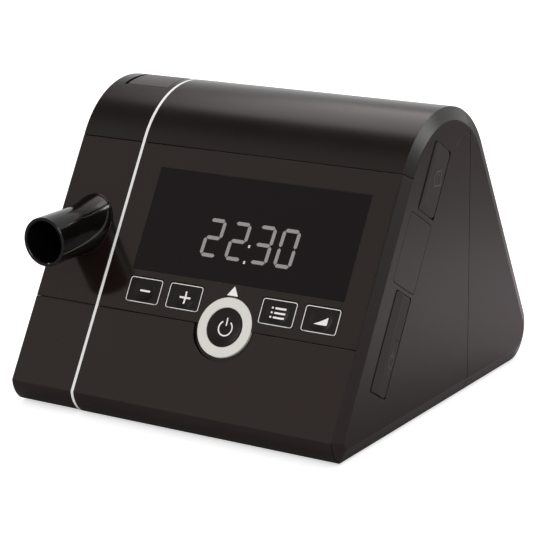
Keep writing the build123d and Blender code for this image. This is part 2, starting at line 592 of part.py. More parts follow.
with BuildPart() as base_tray:
    with BuildSketch(Plane.XY.offset(FOOT_STAND)):
        with Locations(((MAIN_LEFT + END_INNER - FIT) / 2, (TRAY_FRONT + TRAY_REAR) / 2)):
            Rectangle(END_INNER - FIT - MAIN_LEFT, TRAY_REAR - TRAY_FRONT)
    extrude(amount=WALL)
    with BuildSketch(Plane.XY.offset(TRAY_TOP)):
        with Locations(*POWER_POSTS):
            Circle(POST_RADIUS)
    extrude(amount=POWER_BOARD_Z - TRAY_TOP)
    # Rails that carry the silencer.
    with BuildSketch(Plane.XY.offset(TRAY_TOP)):
        with Locations((SILENCER_LEFT + 6, BLOWER_Y), (SILENCER_RIGHT - 6, BLOWER_Y)):
            Rectangle(WALL, SNOUT_Y - SILENCER_FRONT - 32)
    extrude(amount=SILENCER_FLOOR - TRAY_TOP)
    with BuildSketch(Plane.XY.offset(FOOT_STAND)):
        with Locations(*FEET):
            Circle(FOOT_RADIUS + FIT)
    extrude(amount=FOOT_THICK - FOOT_STAND, mode=Mode.SUBTRACT)
    with BuildSketch(Plane.XY.offset(FOOT_STAND)):
        with Locations(*BOSS_PLACES):
            Circle(SCREW_HEAD_RADIUS + FIT)
    extrude(amount=SCREW_HEAD, mode=Mode.SUBTRACT)
    with BuildSketch(Plane.XY.offset(FOOT_STAND)):
        with Locations(*BOSS_PLACES):
            Circle(SCREW_RADIUS + FIT)
    extrude(amount=WALL, mode=Mode.SUBTRACT)
save(base_tray.part, "base_tray")

with BuildPart() as feet:
    with BuildSketch(Plane.XY):
        with Locations(*FEET):
            Circle(FOOT_RADIUS)
    extrude(amount=FOOT_THICK)
    chamfer(feet.faces().filter_by(Axis.Z).group_by(Axis.Z)[0].edges(), FOOT_STAND / 2)
save(feet.part, "feet")

with BuildPart() as base_screws:
    with BuildSketch(Plane.XY.offset(FOOT_STAND + FIT)):
        with Locations(*BOSS_PLACES):
            Circle(SCREW_HEAD_RADIUS)
    extrude(amount=SCREW_HEAD - FIT)
    with BuildSketch(Plane.XY.offset(FOOT_STAND + SCREW_HEAD)):
        with Locations(*BOSS_PLACES):
            Circle(SCREW_RADIUS)
    extrude(amount=WALL - SCREW_HEAD + BOSS_HEIGHT - 2 * WALL)
    with BuildSketch(Plane.XY.offset(FOOT_STAND + FIT)):
        with Locations(*BOSS_PLACES):
            Rectangle(2.4, 0.6)
            Rectangle(0.6, 2.4)
    extrude(amount=SCREW_HEAD / 2, mode=Mode.SUBTRACT)
save(base_screws.part, "base_screws")

# ---------------------------------------------------------------- display, keys and control board
with BuildPart() as display_window:
    with BuildSketch(FACE):
        with Locations((WINDOW_X, WINDOW_S)):
            add(rounded(WINDOW_WIDTH, WINDOW_HEIGHT, WINDOW_CORNER))
    extrude(amount=-WINDOW_THICK)
save(display_window.part, "display_window")

with BuildPart() as lcd_module:
    with BuildSketch(FACE.offset(-WALL - FIT)):
        with Locations((WINDOW_X, WINDOW_S)):
            Rectangle(LCD_WIDTH, LCD_HEIGHT)
    extrude(amount=WALL + FIT - BOARD_DEPTH)
save(lcd_module.part, "lcd_module")

KEY_SEAT = WALL + FIT  # flange of a key behind the face
SWITCH_TOP = KEY_SEAT + KEY_FLANGE_THICK + max(KEY_TRAVEL, POWER_TRAVEL) + 2 * FIT

for key_name, key_x in zip(KEY_NAMES, KEY_XS):
    with BuildPart() as key:
        with BuildSketch(FACE):
            with Locations((key_x, KEY_S)):
                add(rounded(KEY_WIDTH, KEY_HEIGHT, KEY_CORNER))
        extrude(amount=-KEY_SEAT)
        chamfer(key.faces().sort_by(FACE_AXIS)[-1].edges(), KEY_EDGE)
        with BuildSketch(FACE.offset(-KEY_SEAT)):
            with Locations((key_x, KEY_S)):
                add(rounded(KEY_WIDTH + 2 * KEY_FLANGE, KEY_HEIGHT + 2 * KEY_FLANGE, KEY_CORNER))
        extrude(amount=-KEY_FLANGE_THICK)
        # Round dish for the fingertip: a shallow cap of a large ball.
        BALL = (DISH_RADIUS**2 + DISH_DEPTH**2) / (2 * DISH_DEPTH)
        with Locations(FACE.offset(BALL - DISH_DEPTH)):
            with Locations((key_x, KEY_S)):
                Sphere(BALL, mode=Mode.SUBTRACT)
    save(key.part, key_name)

with BuildPart() as status_ring:
    with BuildSketch(FACE):
        with Locations((POWER_X, POWER_S)):
            Circle(RING_OUTER)
            Circle(RING_INNER, mode=Mode.SUBTRACT)
    extrude(amount=-WALL)
    chamfer(status_ring.edges().filter_by(GeomType.CIRCLE).group_by(FACE_AXIS)[-1], 0.2)
save(status_ring.part, "status_ring")

with BuildPart() as key_power:
    with BuildSketch(FACE):
        with Locations((POWER_X, POWER_S)):
            Circle(POWER_RADIUS)
    extrude(amount=-KEY_SEAT)
    with BuildSketch(FACE.offset(-KEY_SEAT)):
        with Locations((POWER_X, POWER_S)):
            Circle(POWER_RADIUS + KEY_FLANGE)
    extrude(amount=-KEY_FLANGE_THICK)
    POWER_BALL = (POWER_RADIUS**2 + POWER_DISH_DEPTH**2) / (2 * POWER_DISH_DEPTH)
    with Locations(FACE.offset(POWER_BALL - POWER_DISH_DEPTH)):
        with Locations((POWER_X, POWER_S)):
            Sphere(POWER_BALL - FIT, mode=Mode.SUBTRACT)
save(key_power.part, "key_power")

BOARD_LEFT, BOARD_RIGHT = MAIN_LEFT + 4, PANEL_RIGHT - 4
BOARD_LOW, BOARD_HIGH = LOWER_SEAM - 14, UPPER_SEAM - 3.6
with BuildPart() as control_board:
    with BuildSketch(FACE.offset(-BOARD_DEPTH)):
        with Locations(((BOARD_LEFT + BOARD_RIGHT) / 2, (BOARD_LOW + BOARD_HIGH) / 2)):
            Rectangle(BOARD_RIGHT - BOARD_LEFT, BOARD_HIGH - BOARD_LOW)
    extrude(amount=-BOARD)
save(control_board.part, "control_board")

# Chips on the far side of the control board: off the middle across and up, width and height.
CHIPS = ((-30, 8, 14, 14), (2, 14, 10, 10), (24, 4, 8, 16), (38, 22, 12, 6), (-12, -12, 6, 6))
with BuildPart() as control_chips:
    with BuildSketch(FACE.offset(-BOARD_DEPTH - BOARD)):
        for across, up, chip_width, chip_height in CHIPS:
            with Locations(((BOARD_LEFT + BOARD_RIGHT) / 2 + across, (BOARD_LOW + BOARD_HIGH) / 2 + up)):
                Rectangle(chip_width, chip_height)
    extrude(amount=-CHIP)
save(control_chips.part, "control_chips")

with BuildPart() as key_switches:
    with BuildSketch(FACE.offset(-BOARD_DEPTH)):
        with Locations(*[(x, KEY_S) for x in KEY_XS], (POWER_X, POWER_S)):
            Rectangle(SWITCH, SWITCH)
    extrude(amount=1.5)
    with BuildSketch(FACE.offset(1.5 - BOARD_DEPTH)):
        with Locations(*[(x, KEY_S) for x in KEY_XS], (POWER_X, POWER_S)):
            Circle(SWITCH / 4)
    extrude(amount=BOARD_DEPTH - 1.5 - SWITCH_TOP)
save(key_switches.part, "key_switches")

# ---------------------------------------------------------------- right-hand covers and sockets
def rubber_cover(d, s, width, length, corner, crest, front):
    """Cover that stands proud along a crest near its grip and lies flush at its hinge."""
    grip, hinge = d - width / 2, d + width / 2
    with BuildPart() as cover:
        with BuildSketch(END.offset(COVER_PROUD + FIT / 2)):
            with Locations((d, s)):
                add(flap(width, length, GRIP_CORNER, corner))
        extrude(amount=-COVER_THICK - FIT / 2)
        fillet(cover.faces().filter_by(Axis.X).edges(), COVER_EDGE)
        # The slopes, and a rounded rear edge that can turn in its pocket as a rubber hinge.
        grip_slope = (COVER_PROUD - front) / (crest * width)
        turn = 1.4 * COVER_EDGE
        turn_end = hinge - COVER_EDGE + turn * sin(radians(60))
        with BuildSketch(ACROSS.offset(length - s)):
            with BuildLine():
                Polyline((turn_end, -turn / 2), (hinge + COVER_THICK, -turn / 2),
                         (hinge + COVER_THICK, -2 * COVER_THICK), (grip - COVER_THICK, -2 * COVER_THICK),
                         (grip - COVER_THICK, front - grip_slope * COVER_THICK),
                         (grip + crest * width, COVER_PROUD), (hinge - COVER_EDGE, 0))
                RadiusArc((hinge - COVER_EDGE, 0), (turn_end, -turn / 2), turn)
            make_face()
        extrude(amount=-2 * length, mode=Mode.INTERSECT)
    return cover.part


with BuildPart() as card_cover:
    add(rubber_cover(CARD_COVER_D, CARD_COVER_S, CARD_COVER_WIDTH, CARD_COVER_LENGTH, CARD_COVER_CORNER,
                     CARD_CREST, CARD_FRONT))
    lip_from = CARD_COVER_S - CARD_COVER_LENGTH / 2
    lip_to = lip_from + LIP_LENGTH
    with BuildSketch(FACE.offset(-CARD_COVER_D - CARD_COVER_WIDTH)):
        with BuildLine():
            Polyline((RIGHT, lip_from), (RIGHT + COVER_PROUD, lip_to), (RIGHT + COVER_THICK, lip_to),
                     (RIGHT + COVER_THICK, lip_from - FIT), (RIGHT, lip_from - FIT), close=True)
        make_face()
    extrude(amount=2 * CARD_COVER_WIDTH, mode=Mode.SUBTRACT)
save(card_cover.part, "card_cover")

with BuildPart() as port_cover:
    add(rubber_cover(PORT_COVER_D, PORT_COVER_S, PORT_COVER_WIDTH, PORT_COVER_LENGTH, PORT_COVER_CORNER,
                     PORT_CREST, PORT_FRONT))
    pad_front = PORT_COVER_D + (PORT_CREST - 0.5) * PORT_COVER_WIDTH
    pad_rear = PORT_COVER_D + PORT_COVER_WIDTH / 2 - PAD_IN
    pad_top = PORT_COVER_S + PORT_COVER_LENGTH / 2 - PAD_IN
    with BuildSketch(ACROSS.offset(PAD_LENGTH - pad_top)):
        with BuildLine():
            Polyline((pad_front, PAD_HEIGHT), (pad_rear - PAD_HEIGHT, PAD_HEIGHT), (pad_rear, -FIT),
                     (pad_front, -FIT), close=True)
        make_face()
    extrude(amount=-PAD_LENGTH)
save(port_cover.part, "port_cover")

with BuildPart() as blank_cover:
    with BuildSketch(END):
        with Locations((BLANK_COVER_D, BLANK_COVER_S)):
            add(rounded(BLANK_COVER_WIDTH, BLANK_COVER_LENGTH, BLANK_COVER_CORNER))
    extrude(amount=-COVER_THICK)
save(blank_cover.part, "blank_cover")

with BuildPart() as io_board:
    with BuildSketch(Plane.YZ.offset(IO_BOARD_X)):
        with BuildLine():
            Polyline(slope_point(IO_BOARD_LOW, IO_BOARD_NEAR), slope_point(IO_BOARD_LOW, IO_BOARD_FAR),
                     slope_point(IO_BOARD_HIGH, IO_BOARD_FAR), slope_point(IO_BOARD_HIGH, IO_BOARD_NEAR),
                     close=True)
        make_face()
    extrude(amount=BOARD)
save(io_board.part, "io_board")

with BuildPart() as port_socket:
    with BuildSketch(END.offset(-END_WALL + FIT)):
        with Locations((PORT_COVER_D, PORT_S)):
            Rectangle(PORT_HEIGHT, PORT_WIDTH)
    extrude(amount=IO_BOARD_X + BOARD - END_INNER - FIT)
    with BuildSketch(END.offset(-END_WALL + FIT)):
        with Locations((PORT_COVER_D, PORT_S)):
            Rectangle(PORT_HEIGHT - 0.8, PORT_WIDTH - 0.8)
    extrude(amount=-(END_INNER - IO_BOARD_X - BOARD - 1), mode=Mode.SUBTRACT)
    with BuildSketch(END.offset(-END_WALL - 0.6)):
        with Locations((PORT_COVER_D, PORT_S)):
            Rectangle(0.7, PORT_WIDTH - 2.6)
    extrude(amount=-(END_INNER - IO_BOARD_X - BOARD - 0.6))
save(port_socket.part, "port_socket")

MODULE_PINS = 10
with BuildPart() as module_socket:
    with BuildSketch(END.offset(-END_WALL + FIT)):
        with Locations((BLANK_COVER_D, BLANK_COVER_S)):
            Rectangle(6, BLANK_COVER_LENGTH - 10)
    extrude(amount=IO_BOARD_X + BOARD - END_INNER - FIT)
    with BuildSketch(END.offset(-END_WALL + FIT)):
        with Locations((BLANK_COVER_D, BLANK_COVER_S)):
            with GridLocations(2.4, 1.9, 2, MODULE_PINS):
                Rectangle(1, 1)
    extrude(amount=-3, mode=Mode.SUBTRACT)
save(module_socket.part, "module_socket")

READER_LENGTH = CARD_LENGTH + 2
with BuildPart() as card_board:
    with BuildSketch(END.offset(-END_WALL - FIT)):
        with Locations((SHELF_D - BOARD / 2, CARD_COVER_S)):
            Rectangle(BOARD, CARD_WIDTH + 2)
    extrude(amount=-READER_LENGTH)
save(card_board.part, "card_board")

with BuildPart() as card_reader:
    with BuildSketch(END.offset(-END_WALL - FIT)):
        with Locations((CARD_COVER_D + 0.5, CARD_COVER_S)):
            Rectangle(CARD_THICK + 3.0, CARD_WIDTH + 2)
    extrude(amount=-READER_LENGTH + 1)
    with BuildSketch(END.offset(-END_WALL - FIT)):
        with Locations((CARD_COVER_D, CARD_COVER_S)):
            Rectangle(CARD_THICK + 0.2, CARD_WIDTH + 0.2)
    extrude(amount=-READER_LENGTH + 1, mode=Mode.SUBTRACT)
save(card_reader.part, "card_reader")

CARD_END = RIGHT + COVER_PROUD - COVER_THICK - COVER_GAP
CARD_CORNER = 3.5
with BuildPart() as memory_card:
    with BuildSketch(FACE.offset(CARD_THICK / 2 - CARD_COVER_D)):
        with BuildLine():
            Polyline((CARD_END, CARD_COVER_S - CARD_WIDTH / 2), (CARD_END, CARD_COVER_S + CARD_WIDTH / 2),
                     (CARD_END - CARD_LENGTH + CARD_CORNER, CARD_COVER_S + CARD_WIDTH / 2),
                     (CARD_END - CARD_LENGTH, CARD_COVER_S + CARD_WIDTH / 2 - CARD_CORNER),
                     (CARD_END - CARD_LENGTH, CARD_COVER_S - CARD_WIDTH / 2), close=True)
        make_face()
    extrude(amount=-CARD_THICK)
save(memory_card.part, "memory_card")

# ---------------------------------------------------------------- side part
# A hollow form like the casing blank, closed at the left.
with BuildPart() as side_blank:
    with BuildSketch(Plane.YZ.offset(LEFT)):
        add(outline(2 * SIDE_EDGE))
    with BuildSketch(Plane.YZ.offset(LEFT + SIDE_EDGE)):
        add(OUTLINE)
    loft(ruled=True)
    with BuildSketch(Plane.YZ.offset(LEFT + SIDE_EDGE)):
        add(OUTLINE)
    extrude(amount=SIDE_RIGHT - LEFT - SIDE_EDGE)
    with BuildSketch(Plane.YZ.offset(LEFT + END_WALL)):
        add(INNER_OUTLINE)
    extrude(amount=SIDE_RIGHT - LEFT - END_WALL, mode=Mode.SUBTRACT)
    with BuildSketch(Plane.XY.offset(FOOT_STAND)):
        with Locations(((LEFT + SIDE_RIGHT) / 2, 0)):
            Rectangle(SIDE_RIGHT - LEFT, DEPTH)
    extrude(amount=SIDE_LIFT, mode=Mode.SUBTRACT)

SIDE_FACE_DEPTH = WALL + HALF_SEAM
SIDE_FRONT_REGION = area(slope_point(LOWER_SEAM + HALF_SEAM, -WALL),
                         slope_point(UPPER_SEAM - HALF_SEAM, -WALL),
                         slope_point(UPPER_SEAM - HALF_SEAM, WALL),
                         slope_point(LOWER_SEAM + HALF_SEAM, WALL))
FRONT_LAYER = area(slope_point(-FAR, -FAR), slope_point(UPPER_SEAM + HALF_SEAM, -FAR),
                   slope_point(UPPER_SEAM + HALF_SEAM, SIDE_FACE_DEPTH), slope_point(-FAR, SIDE_FACE_DEPTH))
BUTTON_FROM, BUTTON_TO = 82.5, 106.8  # release button round the ridge, degrees above +Y
BUTTON_LEFT, BUTTON_RIGHT = LEFT + 8.4, STRIP_X - 3.6
BUTTON_GAP = 0.5
BUTTON_NOTCH = 1.0  # more room along its left side, for a fingernail
BUTTON_EDGE = 0.5
BUTTON_STEM = 9.0
BUTTON_STEM_LENGTH = 11.8  # from inside its cap down
BUTTON_FRONT = RIDGE_Y + RIDGE_RADIUS * cos(radians(BUTTON_TO))
BUTTON_REAR = RIDGE_Y + RIDGE_RADIUS * cos(radians(BUTTON_FROM))
BUTTON_PLACE = ((BUTTON_LEFT + BUTTON_RIGHT) / 2, (BUTTON_FRONT + BUTTON_REAR) / 2)
BUTTON_WIDTH, BUTTON_LENGTH = BUTTON_RIGHT - BUTTON_LEFT, BUTTON_REAR - BUTTON_FRONT

with BuildPart() as side_case:
    add(side_blank.part)
    with BuildSketch(Plane.YZ.offset(LEFT)):
        add(LOWER_REGION)
        offset(amount=SEAM, kind=Kind.INTERSECTION)
        add(FRONT_LAYER)
    extrude(amount=WIDTH, mode=Mode.SUBTRACT)
    with BuildSketch(Plane.XY.offset(HEIGHT)):
        with Locations((BUTTON_PLACE[0] - BUTTON_NOTCH / 2, BUTTON_PLACE[1])):
            Rectangle(BUTTON_WIDTH + 2 * BUTTON_GAP + BUTTON_NOTCH, BUTTON_LENGTH + 2 * BUTTON_GAP)
    extrude(amount=-4 * WALL, mode=Mode.SUBTRACT)
save(side_case.part, "side_case")

with BuildPart() as side_front:
    add(take(side_blank.part, SIDE_FRONT_REGION, LEFT, SIDE_RIGHT))
    with BuildSketch(Plane.XZ.offset(-PIPE_TIP_Y)):
        with Locations((PIPE_X, PIPE_Z)):
            Circle(TUBE_RADIUS + FIT)
    extrude(amount=PIPE_TIP_Y - TUBE_END_Y, mode=Mode.SUBTRACT)
save(side_front.part, "side_front")

with BuildPart() as side_lower:
    add(take(side_blank.part, LOWER_REGION, LEFT, SIDE_RIGHT))
save(side_lower.part, "side_lower")

with BuildPart() as side_plate:
    with BuildSketch(Plane.YZ.offset(SIDE_RIGHT)):
        add(outline(WALL + SEAM))
        with Locations((PORT_Y, PORT_Z)):
            Circle(PORT_RADIUS, mode=Mode.SUBTRACT)
    extrude(amount=-PLATE)
save(side_plate.part, "side_plate")

CHAMBER_WALL = 1.8
CHAMBER_LEFT = LEFT + END_WALL + 1
CHAMBER_FRONT, CHAMBER_REAR = PIPE_FACE_Y - 25, PORT_Y + 16.7
CHAMBER_LOW, CHAMBER_HIGH = PORT_Z - 15, PIPE_Z + 15.8
CHAMBER_REGION = ((CHAMBER_FRONT, CHAMBER_LOW), (CHAMBER_REAR, CHAMBER_LOW),
                  (CHAMBER_REAR, CHAMBER_HIGH), (CHAMBER_FRONT, CHAMBER_HIGH))
with BuildPart() as air_chamber:
    with BuildSketch(Plane.YZ.offset(SIDE_RIGHT - PLATE)):
        add(outline(WALL + 1))
        add(area(*CHAMBER_REGION), mode=Mode.INTERSECT)
    extrude(amount=CHAMBER_LEFT - SIDE_RIGHT + PLATE)
    with BuildSketch(Plane.YZ.offset(SIDE_RIGHT - PLATE)):
        add(outline(WALL + 1))
        add(area(*CHAMBER_REGION), mode=Mode.INTERSECT)
        offset(amount=-CHAMBER_WALL, kind=Kind.INTERSECTION)
    extrude(amount=CHAMBER_LEFT - SIDE_RIGHT + PLATE + CHAMBER_WALL, mode=Mode.SUBTRACT)
    with BuildSketch(Plane.XZ.offset(-PIPE_TIP_Y)):
        with Locations((PIPE_X, PIPE_Z)):
            Circle(TUBE_RADIUS + FIT)
    extrude(amount=PIPE_TIP_Y - TUBE_END_Y, mode=Mode.SUBTRACT)
save(air_chamber.part, "air_chamber")

with BuildPart() as outlet_pipe:
    PIPE_AXIS = Axis((PIPE_X, 0, PIPE_Z), (0, 1, 0))
    with BuildSketch(Plane.XY.offset(PIPE_Z)):
        with BuildLine():
            flare_rise = FLARE_RADIUS - PIPE_RADIUS
            Line((PIPE_X, FLARE_Y), (PIPE_X + PIPE_RADIUS, FLARE_Y))
            Spline((PIPE_X + PIPE_RADIUS, FLARE_Y), (PIPE_X + FLARE_RADIUS, FLARE_Y + FLARE_LENGTH),
                   tangents=((0, 1), (flare_rise, FLARE_LENGTH / 2)))
            Polyline((PIPE_X + FLARE_RADIUS, FLARE_Y + FLARE_LENGTH), (PIPE_X, FLARE_Y + FLARE_LENGTH),
                     (PIPE_X, FLARE_Y))
        make_face()
    revolve(axis=PIPE_AXIS)
    with BuildSketch(Plane.YZ.offset(LEFT)):
        add(OUTLINE)
    extrude(amount=WIDTH, mode=Mode.SUBTRACT)
    with BuildSketch(Plane.XZ.offset(-PIPE_TIP_Y)):
        with Locations((PIPE_X, PIPE_Z)):
            Circle(PIPE_RADIUS)
    extrude(amount=PIPE_TIP_Y - FLARE_Y)
    with BuildSketch(Plane.XZ.offset(-PIPE_TIP_Y)):
        with Locations((PIPE_X, PIPE_Z)):
            Circle(TUBE_RADIUS)
    extrude(amount=PIPE_TIP_Y - TUBE_END_Y)
    with BuildSketch(Plane.XZ.offset(-PIPE_TIP_Y)):
        with Locations((PIPE_X, PIPE_Z)):
            Circle(PIPE_BORE)
    extrude(amount=PIPE_TIP_Y - TUBE_END_Y, mode=Mode.SUBTRACT)
    chamfer(outlet_pipe.edges().filter_by(GeomType.CIRCLE).group_by(Axis.Y)[0], PIPE_CHAMFER / 2)
save(outlet_pipe.part, "outlet_pipe")

with BuildPart() as release_button:
    with BuildSketch(Plane.YZ.offset(BUTTON_LEFT)):
        add(OUTLINE)
        add(INNER_OUTLINE, mode=Mode.SUBTRACT)
    extrude(amount=BUTTON_WIDTH)
    with BuildSketch(Plane.XY.offset(HEIGHT)):
        with Locations(BUTTON_PLACE):
            Rectangle(BUTTON_WIDTH, BUTTON_LENGTH)
    extrude(amount=-4 * WALL, mode=Mode.INTERSECT)
    fillet(release_button.faces().sort_by(Axis.Z)[-1].edges(), BUTTON_EDGE)
    with BuildSketch(Plane.XY.offset(HEIGHT - 0.75 * WALL)):
        with Locations(BUTTON_PLACE):
            Rectangle(BUTTON_STEM, BUTTON_STEM)
    extrude(amount=-BUTTON_STEM_LENGTH)
save(release_button.part, "release_button")

SIDE_FEET = [((LEFT + SIDE_RIGHT) / 2, TRAY_FRONT + 8), ((LEFT + SIDE_RIGHT) / 2, TRAY_REAR - 22)]
with BuildPart() as side_feet:
    with BuildSketch(Plane.XY):
        with Locations(*SIDE_FEET):
            RectangleRounded(22, 9, 3)
    extrude(amount=FOOT_STAND + SIDE_LIFT)
save(side_feet.part, "side_feet")

with BuildPart() as port_seal:
    with BuildSketch(Plane.YZ.offset(MAIN_LEFT)):
        with Locations((PORT_Y, PORT_Z)):
            Circle(PORT_RADIUS + 3.5)
            Circle(PORT_RADIUS, mode=Mode.SUBTRACT)
    extrude(amount=-STRIP_WIDTH)
save(port_seal.part, "port_seal")

# ---------------------------------------------------------------- intake filter
FILTER_FLOOR = WALL + FILTER_BOX_DEPTH  # outside of the filter box, behind the back slope
DUCT_T, DUCT_WIDTH, DUCT_HEIGHT = 14.0, 30.0, 8.0
with BuildPart() as filter_box:
    with BuildSketch(BACK.offset(-WALL - FIT)):
        with Locations((-FILTER_X, FILTER_T)):
            Rectangle(FILTER_WIDTH + 2 * SILENCER_WALL, FILTER_HEIGHT + 2 * SILENCER_WALL)
    extrude(amount=WALL + FIT - FILTER_FLOOR)
    with BuildSketch(BACK.offset(-WALL - FIT)):
        with Locations((-FILTER_X, FILTER_T)):
            Rectangle(FILTER_WIDTH, FILTER_HEIGHT)
    extrude(amount=WALL + FIT - FILTER_FLOOR + SILENCER_WALL, mode=Mode.SUBTRACT)
    with BuildSketch(BACK.offset(-FILTER_FLOOR)):
        with Locations((-FILTER_X, DUCT_T)):
            Rectangle(DUCT_WIDTH, DUCT_HEIGHT)
    extrude(amount=SILENCER_WALL, mode=Mode.SUBTRACT)
save(filter_box.part, "filter_box")

with BuildPart() as air_filter:
    with BuildSketch(BACK.offset(-FILTER_FLOOR + SILENCER_WALL)):
        with Locations((-FILTER_X, FILTER_T)):
            Rectangle(FILTER_WIDTH - 2 * COVER_GAP, FILTER_HEIGHT - 2 * COVER_GAP)
    extrude(amount=FILTER_BOX_DEPTH - SILENCER_WALL - WALL)
save(air_filter.part, "air_filter")

with BuildPart() as filter_cover:
    with BuildSketch(BACK):
        with Locations((-FILTER_X, FILTER_T)):
            Rectangle(FILTER_WIDTH, FILTER_HEIGHT)
            with GridLocations(1, FILTER_HEIGHT / (LOUVRES + 1), 1, LOUVRES):
                SlotOverall(FILTER_WIDTH - 3 * FILTER_COVER_THICK, LOUVRE_HEIGHT, mode=Mode.SUBTRACT)
    extrude(amount=-FILTER_COVER_THICK)
    # The top edge is the hinge, so it is rounded about its own middle.
    fillet(filter_cover.edges().filter_by(Axis.X).group_by(Axis.Z)[-1], FILTER_COVER_THICK / 2 - FIT / 2)
    fillet(filter_cover.edges().filter_by(Axis.X).group_by(Axis.Y)[0], FILTER_COVER_THICK / 2 - FIT / 2)
save(filter_cover.part, "filter_cover")

# ---------------------------------------------------------------- intake silencer
SNOUT_DEPTH = FILTER_FLOOR + FIT  # its mouth in front of the back slope
BACK_RISE, BACK_SINK = cos(radians(BACK_NORMAL)), SNOUT_DEPTH * sin(radians(BACK_NORMAL))
SNOUT_LOW = (SNOUT_Z + BACK_SINK - BACK_FOOT[1]) / BACK_RISE
SNOUT_HIGH = (SILENCER_TOP + BACK_SINK - BACK_FOOT[1]) / BACK_RISE
SILENCER_REGION = area((SILENCER_FRONT, SILENCER_FLOOR), (SNOUT_Y, SILENCER_FLOOR), (SNOUT_Y, SNOUT_Z),
                       back_point(SNOUT_LOW, SNOUT_DEPTH), back_point(SNOUT_HIGH, SNOUT_DEPTH),
                       (SILENCER_FRONT, SILENCER_TOP))
with BuildPart() as silencer:
    with BuildSketch(Plane.YZ.offset(SILENCER_LEFT)):
        add(SILENCER_REGION)
    extrude(amount=SILENCER_RIGHT - SILENCER_LEFT)

with BuildPart() as silencer_box:
    add(silencer.part)
    with BuildSketch(Plane.YZ.offset(SILENCER_LEFT + SILENCER_WALL)):
        add(SILENCER_REGION)
        offset(amount=-SILENCER_WALL, kind=Kind.INTERSECTION)
    extrude(amount=SILENCER_RIGHT - SILENCER_LEFT - 2 * SILENCER_WALL, mode=Mode.SUBTRACT)
    with BuildSketch(Plane.XY.offset(SILENCER_TOP - SILENCER_WALL)):
        Rectangle(WIDTH, DEPTH)
    extrude(amount=SILENCER_WALL, mode=Mode.SUBTRACT)
    with BuildSketch(BACK.offset(-FILTER_FLOOR)):
        with Locations((-FILTER_X, DUCT_T)):
            Rectangle(DUCT_WIDTH, DUCT_HEIGHT)
    extrude(amount=-2 * SILENCER_WALL, mode=Mode.SUBTRACT)
save(silencer_box.part, "silencer_box")

with BuildPart() as silencer_lid:
    add(silencer.part)
    with BuildSketch(Plane.XY.offset(SILENCER_TOP - SILENCER_WALL)):
        Rectangle(WIDTH, DEPTH)
    extrude(amount=-FAR, mode=Mode.SUBTRACT)
    with BuildSketch(Plane.XY.offset(SILENCER_TOP - SILENCER_WALL)):
        with Locations((BLOWER_X, BLOWER_Y)):
            Circle(INTAKE_RADIUS)
    extrude(amount=SILENCER_WALL, mode=Mode.SUBTRACT)
save(silencer_lid.part, "silencer_lid")

FOAM_TOP = SILENCER_TOP - SILENCER_WALL - 4
with BuildPart() as silencer_foam:
    with BuildSketch(Plane.XY.offset(SILENCER_FLOOR + SILENCER_WALL + FIT)):
        with Locations(((SILENCER_LEFT + SILENCER_RIGHT) / 2, (SILENCER_FRONT + SNOUT_Y) / 2)):
            Rectangle(SILENCER_RIGHT - SILENCER_LEFT - 4 * SILENCER_WALL,
                      SNOUT_Y - SILENCER_FRONT - 4 * SILENCER_WALL)
        with Locations((BLOWER_X, BLOWER_Y)):
            Circle(INTAKE_RADIUS + 3, mode=Mode.SUBTRACT)
        with Locations(((FILTER_X + BLOWER_X) / 2, (BLOWER_Y + SNOUT_Y) / 2)):
            Rectangle(DUCT_WIDTH, SNOUT_Y - BLOWER_Y, mode=Mode.SUBTRACT)
    extrude(amount=FOAM_TOP - SILENCER_FLOOR - SILENCER_WALL - FIT)
save(silencer_foam.part, "silencer_foam")

# ---------------------------------------------------------------- blower
SCROLL_STEPS = 11
SCROLL_TO = -450.0  # direction of the wide end of the scroll, degrees
SCROLL_FROM = SCROLL_TO + 360 - TONGUE  # direction of its narrow end, degrees
BLOWER_TOP = BLOWER_FLOOR + BLOWER_HEIGHT


def scroll(wall):
    """Spiral outline of the blower with its outlet, moved outwards by a wall thickness."""
    near = OUTLET_NEAR - BLOWER_Y + wall
    first = -180 + degrees(asin(-near / (SCROLL_START + wall)))
    points = []
    for step in range(SCROLL_STEPS + 1):
        angle = first + (SCROLL_TO - first) * step / SCROLL_STEPS
        share = (SCROLL_FROM - angle) / (SCROLL_FROM - SCROLL_TO)
        radius = SCROLL_START + (SCROLL_END - SCROLL_START) * share + wall
        points.append((BLOWER_X + radius * cos(radians(angle)), BLOWER_Y + radius * sin(radians(angle))))
    with BuildSketch() as spiral:
        with BuildLine():
            Spline(*points)
            Polyline(points[-1], (OUTLET_X, points[-1][1]), (OUTLET_X, points[0][1]), points[0])
        make_face()
    return spiral.sketch


BELL_TOP = BLOWER_TOP - BLOWER_WALL - IMPELLER_GAP - IMPELLER_PLATE - BLADE_HEIGHT - IMPELLER_GAP
with BuildPart() as blower_base:
    with BuildSketch(Plane.XY.offset(BLOWER_FLOOR)):
        add(scroll(BLOWER_WALL))
    extrude(amount=BLOWER_HEIGHT / 2)
    with BuildSketch(Plane.XY.offset(BLOWER_FLOOR + BLOWER_WALL)):
        add(scroll(0))
    extrude(amount=BLOWER_HEIGHT / 2 - BLOWER_WALL, mode=Mode.SUBTRACT)
    with BuildSketch(Plane.XY.offset(BLOWER_FLOOR)):
        with Locations((BLOWER_X, BLOWER_Y)):
            Circle(INTAKE_RADIUS + BLOWER_WALL)
    extrude(amount=BELL_TOP - BLOWER_FLOOR)
    with BuildSketch(Plane.XY.offset(BLOWER_FLOOR)):
        with Locations((BLOWER_X, BLOWER_Y)):
            Circle(INTAKE_RADIUS)
    extrude(amount=BLOWER_HEIGHT, mode=Mode.SUBTRACT)
save(blower_base.part, "blower_base")

